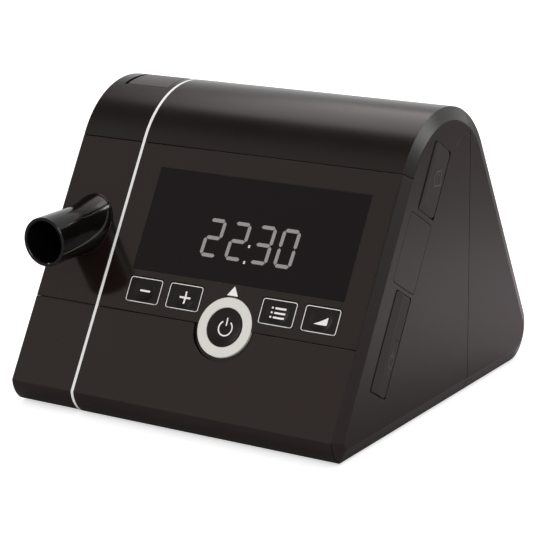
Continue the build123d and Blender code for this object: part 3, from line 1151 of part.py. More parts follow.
BEARING_RADIUS = 5.0
BEARING_HEIGHT = 4.0
SEAT_WALL = 2.0
LOWER_BEARING = BLOWER_TOP + 0.6
MOTOR_TOP = BLOWER_TOP + MOTOR_HEIGHT
UPPER_BEARING = MOTOR_TOP - BLOWER_WALL - BEARING_HEIGHT
with BuildPart() as blower_lid:
    with BuildSketch(Plane.XY.offset(BLOWER_FLOOR + BLOWER_HEIGHT / 2)):
        add(scroll(BLOWER_WALL))
    extrude(amount=BLOWER_HEIGHT / 2)
    with BuildSketch(Plane.XY.offset(BLOWER_FLOOR + BLOWER_HEIGHT / 2)):
        add(scroll(0))
    extrude(amount=BLOWER_HEIGHT / 2 - BLOWER_WALL, mode=Mode.SUBTRACT)
    with BuildSketch(Plane.XY.offset(BLOWER_TOP)):
        with Locations((BLOWER_X, BLOWER_Y)):
            Circle(BEARING_RADIUS + SEAT_WALL)
    extrude(amount=LOWER_BEARING + BEARING_HEIGHT - BLOWER_TOP)
    with BuildSketch(Plane.XY.offset(LOWER_BEARING)):
        with Locations((BLOWER_X, BLOWER_Y)):
            Circle(BEARING_RADIUS + SHAFT_CLEARANCE)
    extrude(amount=BEARING_HEIGHT, mode=Mode.SUBTRACT)
    with BuildSketch(Plane.XY.offset(BLOWER_TOP - BLOWER_WALL)):
        with Locations((BLOWER_X, BLOWER_Y)):
            Circle(SHAFT_RADIUS + 1)
    extrude(amount=BLOWER_HEIGHT, mode=Mode.SUBTRACT)
save(blower_lid.part, "blower_lid")

with BuildPart() as motor_case:
    with BuildSketch(Plane.XY.offset(BLOWER_TOP)):
        with Locations((BLOWER_X, BLOWER_Y)):
            Circle(MOTOR_RADIUS)
    extrude(amount=MOTOR_HEIGHT)
    with BuildSketch(Plane.XY.offset(BLOWER_TOP)):
        with Locations((BLOWER_X, BLOWER_Y)):
            Circle(MOTOR_RADIUS - BLOWER_WALL)
    extrude(amount=MOTOR_HEIGHT - BLOWER_WALL, mode=Mode.SUBTRACT)
    with BuildSketch(Plane.XY.offset(UPPER_BEARING)):
        with Locations((BLOWER_X, BLOWER_Y)):
            Circle(BEARING_RADIUS + SEAT_WALL)
            Circle(BEARING_RADIUS + SHAFT_CLEARANCE, mode=Mode.SUBTRACT)
    extrude(amount=BEARING_HEIGHT)
    chamfer(motor_case.faces().sort_by(Axis.Z)[-1].edges(), BLOWER_WALL / 2)
save(motor_case.part, "motor_case")

with BuildPart() as bearings:
    for bearing_z in (LOWER_BEARING, UPPER_BEARING):
        with BuildSketch(Plane.XY.offset(bearing_z)):
            with Locations((BLOWER_X, BLOWER_Y)):
                Circle(BEARING_RADIUS)
                Circle(SHAFT_RADIUS + SHAFT_CLEARANCE, mode=Mode.SUBTRACT)
        extrude(amount=BEARING_HEIGHT)
save(bearings.part, "bearings")

ROTOR_LOW, ROTOR_HIGH = LOWER_BEARING + BEARING_HEIGHT + 0.5, UPPER_BEARING - 0.5
ROTOR_RADIUS = 8.5
STATOR_TEETH = 9
with BuildPart() as motor_stator:
    with BuildSketch(Plane.XY.offset(ROTOR_LOW)):
        with Locations((BLOWER_X, BLOWER_Y)):
            Circle(MOTOR_RADIUS - BLOWER_WALL - FIT)
            Circle(MOTOR_RADIUS - 2 * BLOWER_WALL, mode=Mode.SUBTRACT)
            with PolarLocations((ROTOR_RADIUS + MOTOR_RADIUS) / 2 - BLOWER_WALL / 2, STATOR_TEETH):
                Rectangle(MOTOR_RADIUS - ROTOR_RADIUS - 2 * BLOWER_WALL, 2 * BLOWER_WALL)
            Circle(ROTOR_RADIUS + 0.6, mode=Mode.SUBTRACT)
    extrude(amount=ROTOR_HIGH - ROTOR_LOW)
save(motor_stator.part, "motor_stator")

with BuildPart() as rotor_magnet:
    with BuildSketch(Plane.XY.offset(ROTOR_LOW)):
        with Locations((BLOWER_X, BLOWER_Y)):
            Circle(ROTOR_RADIUS)
            Circle(SHAFT_RADIUS, mode=Mode.SUBTRACT)
    extrude(amount=ROTOR_HIGH - ROTOR_LOW)
save(rotor_magnet.part, "rotor_magnet")

BLADES_LOW = BELL_TOP + IMPELLER_GAP
BLADES_HIGH = BLADES_LOW + BLADE_HEIGHT
HUB_LOW = BLADES_LOW + BLADE_HEIGHT / 4
with BuildPart() as motor_shaft:
    with BuildSketch(Plane.XY.offset(HUB_LOW + 1)):
        with Locations((BLOWER_X, BLOWER_Y)):
            Circle(SHAFT_RADIUS)
    extrude(amount=UPPER_BEARING + BEARING_HEIGHT - HUB_LOW - 1)
save(motor_shaft.part, "motor_shaft")

BLADE_INNER = INTAKE_RADIUS + 0.5
BLADE_LEAN = 50.0  # how far a blade sweeps back from root to tip, degrees
with BuildSketch() as blade:
    with BuildLine():
        ThreePointArc((BLADE_INNER, 0),
                      on_circle(0, 0, (BLADE_INNER + IMPELLER_RADIUS) / 2 + 0.8, BLADE_LEAN / 3),
                      on_circle(0, 0, IMPELLER_RADIUS - BLADE_THICK, BLADE_LEAN))
    trace(line_width=BLADE_THICK)
with BuildPart() as impeller:
    with BuildSketch(Plane.XY.offset(BLADES_HIGH)):
        with Locations((BLOWER_X, BLOWER_Y)):
            Circle(IMPELLER_RADIUS)
    extrude(amount=IMPELLER_PLATE)
    with BuildSketch(Plane.XY.offset(BLADES_LOW)):
        with Locations((BLOWER_X, BLOWER_Y)):
            with PolarLocations(0, BLADES):
                add(blade.sketch)
    extrude(amount=BLADE_HEIGHT)
    with BuildSketch(Plane.XZ.offset(-BLOWER_Y)):
        with BuildLine():
            hub_foot = (BLOWER_X + SHAFT_RADIUS, HUB_LOW)
            hub_lip = (BLOWER_X + HUB_RADIUS / 2, HUB_LOW)
            hub_root = (BLOWER_X + BLADE_INNER, BLADES_HIGH)
            Line(hub_foot, hub_lip)
            ThreePointArc(hub_lip, (BLOWER_X + HUB_RADIUS, (HUB_LOW + BLADES_HIGH) / 2 + 2), hub_root)
            Polyline(hub_root, (BLOWER_X + SHAFT_RADIUS, BLADES_HIGH), hub_foot)
        make_face()
    revolve(axis=Axis((BLOWER_X, BLOWER_Y, 0), (0, 0, 1)))
    with BuildSketch(Plane.XY.offset(BLADES_LOW)):
        with Locations((BLOWER_X, BLOWER_Y)):
            Circle(SHAFT_RADIUS)
    extrude(amount=BLOWER_HEIGHT, mode=Mode.SUBTRACT)
save(impeller.part, "impeller")

MOUNT_CIRCLE = 22.0
MOUNT_RADIUS = 4.0
with BuildPart() as blower_mounts:
    with BuildSketch(Plane.XY.offset(SILENCER_TOP)):
        with Locations((BLOWER_X, BLOWER_Y)):
            with PolarLocations(MOUNT_CIRCLE, 3, start_angle=60):
                Circle(MOUNT_RADIUS)
    extrude(amount=(BLOWER_FLOOR - SILENCER_TOP) / 2, taper=20)
    with BuildSketch(Plane.XY.offset(BLOWER_FLOOR)):
        with Locations((BLOWER_X, BLOWER_Y)):
            with PolarLocations(MOUNT_CIRCLE, 3, start_angle=60):
                Circle(MOUNT_RADIUS)
    extrude(amount=(SILENCER_TOP - BLOWER_FLOOR) / 2, taper=20)
save(blower_mounts.part, "blower_mounts")

with BuildPart() as intake_bellows:
    with BuildSketch(Plane.XZ.offset(-BLOWER_Y)):
        with BuildLine():
            inner, outer = BLOWER_X + INTAKE_RADIUS, BLOWER_X + INTAKE_RADIUS + BLOWER_WALL
            middle = (SILENCER_TOP + BLOWER_FLOOR) / 2
            Line((inner, SILENCER_TOP), (outer, SILENCER_TOP))
            ThreePointArc((outer, SILENCER_TOP), (outer + BULGE, middle), (outer, BLOWER_FLOOR))
            Line((outer, BLOWER_FLOOR), (inner, BLOWER_FLOOR))
            ThreePointArc((inner, BLOWER_FLOOR), (inner + BULGE, middle), (inner, SILENCER_TOP))
        make_face()
    revolve(axis=Axis((BLOWER_X, BLOWER_Y, 0), (0, 0, 1)))
save(intake_bellows.part, "intake_bellows")

OUTLET_WIDTH = OUTLET_NEAR - OUTLET_FAR
with BuildPart() as outlet_coupling:
    with BuildSketch(Plane.YZ.offset(OUTLET_X)):
        with Locations((PORT_Y, PORT_Z)):
            Rectangle(OUTLET_WIDTH + 2 * BLOWER_WALL, BLOWER_HEIGHT)
    with BuildSketch(Plane.YZ.offset(MAIN_LEFT + PLATE)):
        with Locations((PORT_Y, PORT_Z)):
            Circle(PORT_RADIUS + 2)
    loft()
    with BuildSketch(Plane.YZ.offset(OUTLET_X)):
        with Locations((PORT_Y, PORT_Z)):
            Rectangle(OUTLET_WIDTH, BLOWER_HEIGHT - 2 * BLOWER_WALL)
    with BuildSketch(Plane.YZ.offset(MAIN_LEFT + PLATE)):
        with Locations((PORT_Y, PORT_Z)):
            Circle(PORT_RADIUS)
    loft(mode=Mode.SUBTRACT)
save(outlet_coupling.part, "outlet_coupling")

# ---------------------------------------------------------------- mains side
with BuildPart() as mains_inlet:
    with BuildSketch(Plane.XZ.offset(-INLET_FACE_Y)):
        with Locations((INLET_X, INLET_Z)):
            Rectangle(INLET_WIDTH, INLET_HEIGHT)
    extrude(amount=INLET_LENGTH)
    with BuildSketch(Plane.XZ.offset(-INLET_FACE_Y)):
        with Locations((INLET_X, INLET_Z)):
            SlotOverall(PLUG_WIDTH, PLUG_HEIGHT)
    extrude(amount=PLUG_DEPTH, mode=Mode.SUBTRACT)
    with BuildSketch(Plane.XZ.offset(-INLET_FACE_Y + PLUG_DEPTH)):
        with Locations((INLET_X, INLET_Z)):
            with GridLocations(PIN_PITCH, 1, 2, 1):
                Circle(PIN_RADIUS)
    extrude(amount=-PIN_LENGTH)
save(mains_inlet.part, "mains_inlet")

with BuildPart() as power_board:
    with BuildSketch(Plane.XY.offset(POWER_BOARD_Z)):
        with Locations((POWER_BOARD_X, POWER_BOARD_Y)):
            Rectangle(POWER_BOARD_WIDTH, POWER_BOARD_LENGTH)
    extrude(amount=BOARD)
save(power_board.part, "power_board")

POWER_PARTS_Z = POWER_BOARD_Z + BOARD
with BuildPart() as power_components:
    with BuildSketch(Plane.XY.offset(POWER_PARTS_Z)):
        with Locations((POWER_BOARD_X + 3, POWER_BOARD_Y - 6)):
            Rectangle(TRANSFORMER_WIDTH, TRANSFORMER_LENGTH)
        with Locations((POWER_BOARD_X - 14, POWER_BOARD_Y)):
            Rectangle(WALL, HEAT_SINK_LENGTH)
    extrude(amount=TRANSFORMER_HEIGHT)
    with BuildSketch(Plane.XY.offset(POWER_PARTS_Z)):
        with Locations((POWER_BOARD_X + 6, POWER_BOARD_Y + 18)):
            Circle(LARGE_CAN_RADIUS)
        with Locations((POWER_BOARD_X - 5, POWER_BOARD_Y - 28), (POWER_BOARD_X + 8, POWER_BOARD_Y - 28)):
            Circle(SMALL_CAN_RADIUS)
    extrude(amount=CAN_HEIGHT)
save(power_components.part, "power_components")
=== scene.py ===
from math import cos, pi, radians, sin

import bmesh
import bpy
from mathutils import Matrix, Vector
from mathutils.bvhtree import BVHTree


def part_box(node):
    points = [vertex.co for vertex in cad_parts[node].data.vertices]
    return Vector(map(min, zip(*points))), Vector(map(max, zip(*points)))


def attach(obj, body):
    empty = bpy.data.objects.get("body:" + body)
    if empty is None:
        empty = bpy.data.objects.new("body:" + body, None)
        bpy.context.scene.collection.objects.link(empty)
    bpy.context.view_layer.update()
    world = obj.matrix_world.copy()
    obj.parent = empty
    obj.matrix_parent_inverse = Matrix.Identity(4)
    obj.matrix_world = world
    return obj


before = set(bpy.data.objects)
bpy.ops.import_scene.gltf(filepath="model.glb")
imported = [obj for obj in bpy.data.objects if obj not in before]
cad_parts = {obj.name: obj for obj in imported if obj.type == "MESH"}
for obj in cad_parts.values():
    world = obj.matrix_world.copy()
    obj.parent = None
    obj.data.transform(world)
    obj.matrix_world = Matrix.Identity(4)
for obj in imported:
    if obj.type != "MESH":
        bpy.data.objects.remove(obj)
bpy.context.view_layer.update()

# ---------------------------------------------------------------- camera
# A long lens a little above the machine and to its right, which shows the control face, the hose
# connector and the right-hand end.
CAMERA_PLACE = (0.50013, -0.79687, 0.31376)
CAMERA_TURN, CAMERA_DROP, CAMERA_ROLL = 32.297, 15.537, -0.681
CAMERA_LENS = 141.786
camera_data = bpy.data.cameras.new("camera")
camera_data.lens = CAMERA_LENS
camera = bpy.data.objects.new("camera", camera_data)
camera.matrix_world = (
    Matrix.Translation(CAMERA_PLACE)
    @ Matrix.Rotation(radians(CAMERA_TURN), 4, "Z")
    @ Matrix.Rotation(radians(90 - CAMERA_DROP), 4, "X")
    @ Matrix.Rotation(radians(CAMERA_ROLL), 4, "Z")
)
bpy.context.collection.objects.link(camera)
bpy.context.scene.camera = camera
bpy.context.scene.view_settings.view_transform = "Standard"

# ---------------------------------------------------------------- studio
# A white sweep behind the machine, a dark ceiling, and a dim warm room in front that the control
# face mirrors. Soft boxes above and beside it draw the sheen of the ridge and of the bevel. Seen
# directly, the surround is white.
WHITE = (1, 1, 1, 1)
SURROUND_LIGHT = 0.6
SWEEP_TOP, ROOM = -0.85, 0.9  # heights where the white of the sweep starts to fall off, and ends
SWEEP_LEAN, SWEEP_SIDE = 0.9, 0.3  # how much higher it reaches behind, and lower to the right
ROOM_GLOW = 0.06
FRONT_FROM, FRONT_TO = 0.25, 0.6  # how far to the front the warm room starts, and is full
FRONT_GLOW = 0.47
FRONT_TINT = (1.0, 0.73, 0.64, 1)
MIDDLE, RIDGE_END = (0, 0, 0.07), (0.085, -0.02, 0.12)  # what the soft boxes face
REAR_WARMTH = (1, 0.92, 0.9)


def math_node(tree, operation, first, second):
    """Math node of two values, each a number or a socket. Its result socket is returned."""
    node = tree.nodes.new("ShaderNodeMath")
    node.operation = operation
    for socket, value in zip(node.inputs, (first, second)):
        if isinstance(value, (int, float)):
            socket.default_value = value
        else:
            tree.links.new(value, socket)
    return node.outputs[0]


def graded(tree, value, span, result=(0.0, 1.0), curve="LINEAR"):
    """Map Range node that turns a span of a value into a new one. Its result socket is returned."""
    node = tree.nodes.new("ShaderNodeMapRange")
    node.interpolation_type = curve
    for name, number in zip(("From Min", "From Max", "To Min", "To Max"), (*span, *result)):
        node.inputs[name].default_value = number
    tree.links.new(value, node.inputs["Value"])
    return node.outputs["Result"]


def blended(tree, share, first, second):
    """Mix node of two colours, each a colour or a socket. Its result socket is returned."""
    node = tree.nodes.new("ShaderNodeMix")
    node.data_type = "RGBA"
    for name, colour in (("A", first), ("B", second)):
        if isinstance(colour, tuple):
            node.inputs[name].default_value = colour
        else:
            tree.links.new(colour, node.inputs[name])
    tree.links.new(share, node.inputs["Factor"])
    return node.outputs["Result"]


def ray_kinds(tree):
    """Sockets that tell rays that see a surface directly, and rays that see it mirrored."""
    kinds = tree.nodes.new("ShaderNodeLightPath").outputs
    straight = math_node(tree, "MAXIMUM", kinds["Is Camera Ray"], kinds["Is Transmission Ray"])
    return straight, kinds["Is Glossy Ray"]


def soft_box(name, place, target, width, length, watts, turn=0, colour=(1, 1, 1)):
    """Rectangular area lamp that faces a point, turned about its own axis."""
    data = bpy.data.lights.new(name, "AREA")
    data.shape = "RECTANGLE"
    data.size, data.size_y = width, length
    data.energy = watts
    data.color = colour
    lamp = bpy.data.objects.new(name, data)
    towards = Vector(target) - Vector(place)
    lamp.matrix_world = (
        Matrix.Translation(place)
        @ towards.to_track_quat("-Z", "Y").to_matrix().to_4x4()
        @ Matrix.Rotation(radians(turn), 4, "Z")
    )
    bpy.context.collection.objects.link(lamp)


world = bpy.data.worlds.new("studio")
world.use_nodes = True
bpy.context.scene.world = world
tree = world.node_tree
straight, glossy = ray_kinds(tree)
direction = tree.nodes.new("ShaderNodeTexCoord")
split = tree.nodes.new("ShaderNodeSeparateXYZ")
tree.links.new(direction.outputs["Generated"], split.inputs[0])
behind = math_node(tree, "MULTIPLY", split.outputs["Y"], SWEEP_LEAN)
above = math_node(tree, "SUBTRACT", split.outputs["Z"], behind)
right = math_node(tree, "MAXIMUM", split.outputs["X"], 0.0)
height = math_node(tree, "ADD", above, math_node(tree, "MULTIPLY", right, SWEEP_SIDE))
sweep_glow = graded(tree, height, (SWEEP_TOP, ROOM), (1.0, ROOM_GLOW), "SMOOTHSTEP")
forward = math_node(tree, "MULTIPLY", split.outputs["Y"], -1.0)
front_glow = graded(tree, forward, (FRONT_FROM, FRONT_TO), (0.0, FRONT_GLOW), "SMOOTHSTEP")
mirrored = math_node(tree, "MULTIPLY", glossy, math_node(tree, "ADD", sweep_glow, front_glow))
seen = math_node(tree, "MAXIMUM", straight, mirrored)
unseen = math_node(tree, "SUBTRACT", 1.0, math_node(tree, "MAXIMUM", straight, glossy))
lighting = math_node(tree, "MULTIPLY", unseen, SURROUND_LIGHT)
warmth = math_node(tree, "MULTIPLY", glossy, front_glow)
surround = tree.nodes["Background"]
tree.links.new(blended(tree, warmth, WHITE, FRONT_TINT), surround.inputs["Color"])
tree.links.new(math_node(tree, "ADD", seen, lighting), surround.inputs["Strength"])

soft_box(
    "rear_light", place=(-0.26, 0.4, 1.03), target=MIDDLE, width=0.74, length=0.8, watts=4.1,
    turn=-42, colour=REAR_WARMTH,
)
soft_box("front_light", place=(0.9, -1.2, 1.1), target=MIDDLE, width=0.9, length=0.7, watts=5.0)
soft_box("left_light", place=(-1.2, -0.3, 0.55), target=MIDDLE, width=0.14, length=0.75, watts=1.6)
soft_box(
    "right_light", place=(1.285, 0.98, 0.48), target=RIDGE_END, width=0.4, length=0.35, watts=1.8
)
soft_box("edge_light", place=(0.35, 0.5, 1.15), target=MIDDLE, width=0.16, length=0.16, watts=1.4)

# ---------------------------------------------------------------- floor
# A wide disc of white paper that melts into the surround and keeps the shadow of the machine. Rays
# that the casing mirrors see a painted pool of light on it instead: grey paper, lightest at a spot
# off its rear right corner and darker away from it.
FLOOR_RADIUS, FLOOR_SIDES, FLOOR_DROP = 4.0, 64, 0.0002
FLOOR_GLOW = 0.6
PAPER_WHITE = (0.86, 0.86, 0.86, 1)
# Painted pool of light seen only in reflections: its colours near and far, its middle and its fall.
PAINTED_LIT_PAPER, PAINTED_SHADED_PAPER = (0.64, 0.59, 0.62, 1), (0.29, 0.27, 0.27, 1)
PAINTED_POOL_MIDDLE, PAINTED_POOL_FROM, PAINTED_POOL_TO = (0.13, 0.18, 0), 0.05, 0.27
disc = bmesh.new()
bmesh.ops.create_circle(disc, cap_ends=True, radius=FLOOR_RADIUS, segments=FLOOR_SIDES)
bmesh.ops.translate(disc, vec=(0, 0, -FLOOR_DROP), verts=disc.verts)
floor_mesh = bpy.data.meshes.new("floor")
disc.to_mesh(floor_mesh)
disc.free()
floor = bpy.data.objects.new("floor", floor_mesh)
bpy.context.collection.objects.link(floor)
floor_paper = bpy.data.materials.new("floor_paper")
floor_paper.use_nodes = True
tree = floor_paper.node_tree
tree.nodes.clear()
straight, glossy = ray_kinds(tree)
where = tree.nodes.new("ShaderNodeTexCoord")
away = tree.nodes.new("ShaderNodeVectorMath")
away.operation = "DISTANCE"
away.inputs[1].default_value = PAINTED_POOL_MIDDLE
tree.links.new(where.outputs["Object"], away.inputs[0])
# Painted light and shade on the floor for mirrored rays: lighter near the middle, darker away.
painted_falloff = graded(tree, away.outputs["Value"], (PAINTED_POOL_FROM, PAINTED_POOL_TO))
paper_and_painted_pool = blended(tree, glossy, PAPER_WHITE, blended(tree, painted_falloff, PAINTED_LIT_PAPER, PAINTED_SHADED_PAPER))
matt = tree.nodes.new("ShaderNodeBsdfDiffuse")
tree.links.new(paper_and_painted_pool, matt.inputs["Color"])
glow = tree.nodes.new("ShaderNodeEmission")
tree.links.new(math_node(tree, "MULTIPLY", straight, FLOOR_GLOW), glow.inputs["Strength"])
both = tree.nodes.new("ShaderNodeAddShader")
tree.links.new(matt.outputs[0], both.inputs[0])
tree.links.new(glow.outputs[0], both.inputs[1])
surface = tree.nodes.new("ShaderNodeOutputMaterial")
tree.links.new(both.outputs[0], surface.inputs["Surface"])
floor_mesh.materials.append(floor_paper)

# ---------------------------------------------------------------- casing
# The casing is five mouldings of brown-black ABS with a fine even grain: the round top, the lower
# front, the right-hand end, the rear shell and the side part. The side part docks on, and the
# others snap and screw to the tray.
CASING_BLACK, RIDGE_BLACK = (30, 20, 17), (25, 19, 16)
CASING_GRAIN, CASING_DEPTH = 0.00045, 0.00002
CASING_EDGE = 0.0004
SOFT_EDGE, EDGE_SAMPLES = 0.0002, 4
MOTTLE_SCALE, MOTTLE_DETAIL, GRAIN_DETAIL = 22.0, 3.0, 2.0
GLOSSIEST, DULLEST = 0.85, 1.15  # shares of the roughness between which the gloss wanders


def swatch(red, green, blue):
    """Linear colour of a swatch given on a screen's scale of 0 to 255."""
    shares = [value / 255 for value in (red, green, blue)]
    return (*(((c + 0.055) / 1.055) ** 2.4 if c > 0.04 else c / 12.92 for c in shares), 1.0)


def noise(tree, scale, detail):
    """Noise over a piece's own coordinates. Its value socket is returned."""
    where = tree.nodes.new("ShaderNodeTexCoord")
    node = tree.nodes.new("ShaderNodeTexNoise")
    node.inputs["Scale"].default_value = scale
    node.inputs["Detail"].default_value = detail
    tree.links.new(where.outputs["Object"], node.inputs["Vector"])
    return node.outputs["Fac"]


def plastic(name, colour, rough, grain, depth, shine=0.5, mottle=0.12, bevel=SOFT_EDGE):
    """Moulded plastic: a slight mottle in colour and gloss, a fine grain and soft edges."""
    material = bpy.data.materials.new(name)
    material.use_nodes = True
    tree = material.node_tree
    skin = tree.nodes["Principled BSDF"]
    skin.inputs["Specular IOR Level"].default_value = shine
    tone = swatch(*colour)[:3]
    deep = (*(c * (1 - mottle) for c in tone), 1.0)
    pale = (*(min(1.0, c * (1 + mottle)) for c in tone), 1.0)
    cloud = noise(tree, MOTTLE_SCALE, MOTTLE_DETAIL)
    tree.links.new(blended(tree, cloud, deep, pale), skin.inputs["Base Color"])
    gloss = graded(tree, cloud, (0.0, 1.0), (rough * GLOSSIEST, rough * DULLEST))
    tree.links.new(gloss, skin.inputs["Roughness"])
    relief = tree.nodes.new("ShaderNodeBump")
    relief.inputs["Strength"].default_value = 1.0
    relief.inputs["Distance"].default_value = depth
    tree.links.new(noise(tree, 1 / grain, GRAIN_DETAIL), relief.inputs["Height"])
    if bevel:
        edge = tree.nodes.new("ShaderNodeBevel")
        edge.samples = EDGE_SAMPLES
        edge.inputs["Radius"].default_value = bevel
        tree.links.new(edge.outputs["Normal"], relief.inputs["Normal"])
    tree.links.new(relief.outputs["Normal"], skin.inputs["Normal"])
    return material


def dress(material, *names):
    """Gives CAD nodes a material."""
    for name in names:
        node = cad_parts[name]
        if not node.material_slots:
            node.data.materials.append(material)
        for place in node.material_slots:
            place.material = material


casing = plastic(
    "casing_plastic", CASING_BLACK, rough=0.26, grain=CASING_GRAIN, depth=CASING_DEPTH,
    bevel=CASING_EDGE,
)
dress(casing, "lower_panel", "end_cover", "rear_shell", "side_lower")
dress(casing, "filter_cover", "blank_cover", "base_tray")
ridge_plastic = plastic(
    "ridge_plastic", RIDGE_BLACK, rough=0.25, grain=CASING_GRAIN, depth=CASING_DEPTH, shine=0.4
)
dress(ridge_plastic, "top_cover", "side_case")

# ---------------------------------------------------------------- control face
# The control panel and the face of the side part are smoother mouldings of the same black, let in
# flush between the two seams and clipped from behind.
PANEL_BLACK = (26, 17, 14)
panel_plastic = plastic("panel_plastic", PANEL_BLACK, rough=0.12, grain=0.0003, depth=0.000002)
dress(panel_plastic, "control_panel", "side_front")

# ---------------------------------------------------------------- bright strip
# Satin bright strip in the joint between the casing and the side part, clipped to the docking
# wall. Its silver-white shine is a painted reflection, a near-white and barely metallic colour. Its
# polish is finely uneven.
STRIP_PAINTED_DIM, STRIP_PAINTED_BRIGHT = (246, 245, 243), (253, 252, 250)
STRIP_METALLIC = 0.05
STRIP_GRAIN = 1 / 900
STRIP_GLOSS = (0.16, 0.34)
strip_painted_shine = bpy.data.materials.new("strip_painted_shine")
strip_painted_shine.use_nodes = True
tree = strip_painted_shine.node_tree
skin = tree.nodes["Principled BSDF"]
skin.inputs["Metallic"].default_value = STRIP_METALLIC
polish = noise(tree, 1 / STRIP_GRAIN, GRAIN_DETAIL)
# Painted reflection: a near-white colour that stands in for the shine of the strip.
painted_shine = blended(tree, polish, swatch(*STRIP_PAINTED_DIM), swatch(*STRIP_PAINTED_BRIGHT))
tree.links.new(painted_shine, skin.inputs["Base Color"])
tree.links.new(graded(tree, polish, (0.0, 1.0), STRIP_GLOSS), skin.inputs["Roughness"])
dress(strip_painted_shine, "trim_strip")

# ---------------------------------------------------------------- display window
# Clear acrylic, printed black on its back round the display, let into the panel on a ledge. The
# digits of the clock show pale grey in it, and the colon white.
WINDOW_BLACK, DIGIT_GREY, COLON_WHITE = (10, 4, 8), (158, 154, 154), (232, 230, 226)
window_black = plastic(
    "window_acrylic", WINDOW_BLACK, rough=0.08, grain=0.002, depth=0.000001, shine=0.27, mottle=0.06
)
dress(window_black, "display_window")

mm = 0.001
FACE_TURN = radians(59.5)
CREASE_Y, CREASE_Z = -91 * mm, 11.5 * mm  # the lower crease of the control face
face_up = Vector((0, cos(FACE_TURN), sin(FACE_TURN)))
face_out = Vector((0, -sin(FACE_TURN), cos(FACE_TURN)))
FACE = Matrix((
    (1, 0, 0, 0),
    (0, face_up.y, face_out.y, CREASE_Y),
    (0, face_up.z, face_out.z, CREASE_Z),
    (0, 0, 0, 1),
))
face_corner = FACE.to_translation()
PRINT_THICK, PRINT_STEP, PRINT_SPLITS = 0.05 * mm, 0.9 * mm, 3
PRINT_ROOT = 0.02 * mm  # how far a print reaches into its carrier
PRINT_DROP = 5 * mm  # how far above its carrier a print starts
FLAT = 1.0  # the step of a print on a flat carrier, which is left undivided
MERGE = 0.01 * mm


def face_place(node):
    """(x, s) of the middle of a node, s being up the control face from its lower crease."""
    low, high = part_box(node)
    middle = (low + high) / 2 - face_corner
    return middle.x, middle.dot(face_up)


def bar(width, length, corner=0.0, steps=4):
    """Flat rectangle about the origin, with its corners rounded, or cut where steps is 1."""
    shape = bmesh.new()
    bmesh.ops.create_grid(shape, x_segments=1, y_segments=1, size=0.5)
    bmesh.ops.scale(shape, vec=(width, length, 1), verts=shape.verts)
    if corner:
        bmesh.ops.bevel(
            shape, geom=shape.verts[:], offset=corner, segments=steps, profile=0.5,
            affect="VERTICES", material=-1,
        )
        bmesh.ops.remove_doubles(shape, verts=shape.verts, dist=MERGE)
    return shape


def join(shapes):
    """One flat drawing of (shape, x, y, turn) with each shape in its place."""
    drawing = bmesh.new()
    for shape, x, y, turn in shapes:
        shape.transform(Matrix.Translation((x, y, 0)) @ Matrix.Rotation(turn, 4, "Z"))
        mesh = bpy.data.meshes.new("shape")
        shape.to_mesh(mesh)
        drawing.from_mesh(mesh)
        bpy.data.meshes.remove(mesh)
        shape.free()
    return drawing


def place_piece(name, shape, material, body):
    """Makes a piece of a finished bmesh, and fixes it to a body."""
    mesh = bpy.data.meshes.new(name)
    shape.to_mesh(mesh)
    shape.free()
    mesh.materials.append(material)
    piece = bpy.data.objects.new(name, mesh)
    bpy.context.collection.objects.link(piece)
    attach(piece, body)


def apply_to(
    name, drawing, plane, place, node, body, material, thick=PRINT_THICK, step=PRINT_STEP
):
    """Lays a flat drawing on a node's surface as a thin closed layer, and fixes it to a body."""
    bmesh.ops.triangulate(drawing, faces=drawing.faces[:])
    for _ in range(PRINT_SPLITS):
        long_edges = [e for e in drawing.edges if e.calc_length() > step]
        if long_edges:
            bmesh.ops.subdivide_edges(drawing, edges=long_edges, cuts=1)
            bmesh.ops.triangulate(drawing, faces=drawing.faces[:])
    drawing.transform(plane @ Matrix.Translation((*place, 0)))
    outwards = plane.to_3x3() @ Vector((0, 0, 1))
    carrier = bmesh.new()
    carrier.from_mesh(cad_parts[node].data)
    skin = BVHTree.FromBMesh(carrier)
    carrier.free()
    for vertex in drawing.verts:
        spot = skin.ray_cast(vertex.co + outwards * PRINT_DROP, -outwards)[0]
        vertex.co = spot - outwards * PRINT_ROOT
    top = bmesh.ops.extrude_face_region(drawing, geom=drawing.faces[:])["geom"]
    raised = [v for v in top if isinstance(v, bmesh.types.BMVert)]
    bmesh.ops.translate(drawing, vec=outwards * (thick + PRINT_ROOT), verts=raised)
    bmesh.ops.recalc_face_normals(drawing, faces=drawing.faces[:])
    place_piece(name, drawing, material, body)


DIGIT_WIDTH, DIGIT_HEIGHT, STROKE, NICK = 9.0 * mm, 17.6 * mm, 1.65 * mm, 0.4 * mm
DIGIT_SLANT = 0.045
DIGITS_DOWN = 4.8 * mm
ACROSS, UP = DIGIT_WIDTH - STROKE, (DIGIT_HEIGHT - STROKE) / 2
SEGMENTS = {
    "a": (0, UP, 0), "b": (ACROSS / 2, UP / 2, 90), "c": (ACROSS / 2, -UP / 2, 90),
    "d": (0, -UP, 0), "e": (-ACROSS / 2, -UP / 2, 90), "f": (-ACROSS / 2, UP / 2, 90),
    "g": (0, 0, 0),
}
DIGITS = ((-17.4, "abged"), (-4.5, "abged"), (8.4, "abgcd"), (20.5, "abcdef"))
COLON_WIDTH, COLON_LENGTH, COLON_X, COLON_UP = 0.95 * mm, 1.25 * mm, 1.75 * mm, (-1.5, -8.8)
digit_ink = plastic(
    "digit_grey", DIGIT_GREY, rough=0.45, grain=0.001, depth=0.000002, shine=0.2, mottle=0.05,
    bevel=0,
)
segments = []
for digit_x, lit in DIGITS:
    for letter in lit:
        x, y, turn = SEGMENTS[letter]
        reach = UP if turn else ACROSS
        segment = bar(reach - NICK, STROKE, STROKE / 2, steps=1)
        segments.append((segment, digit_x * mm + x, y, radians(turn)))
drawing = join(segments)
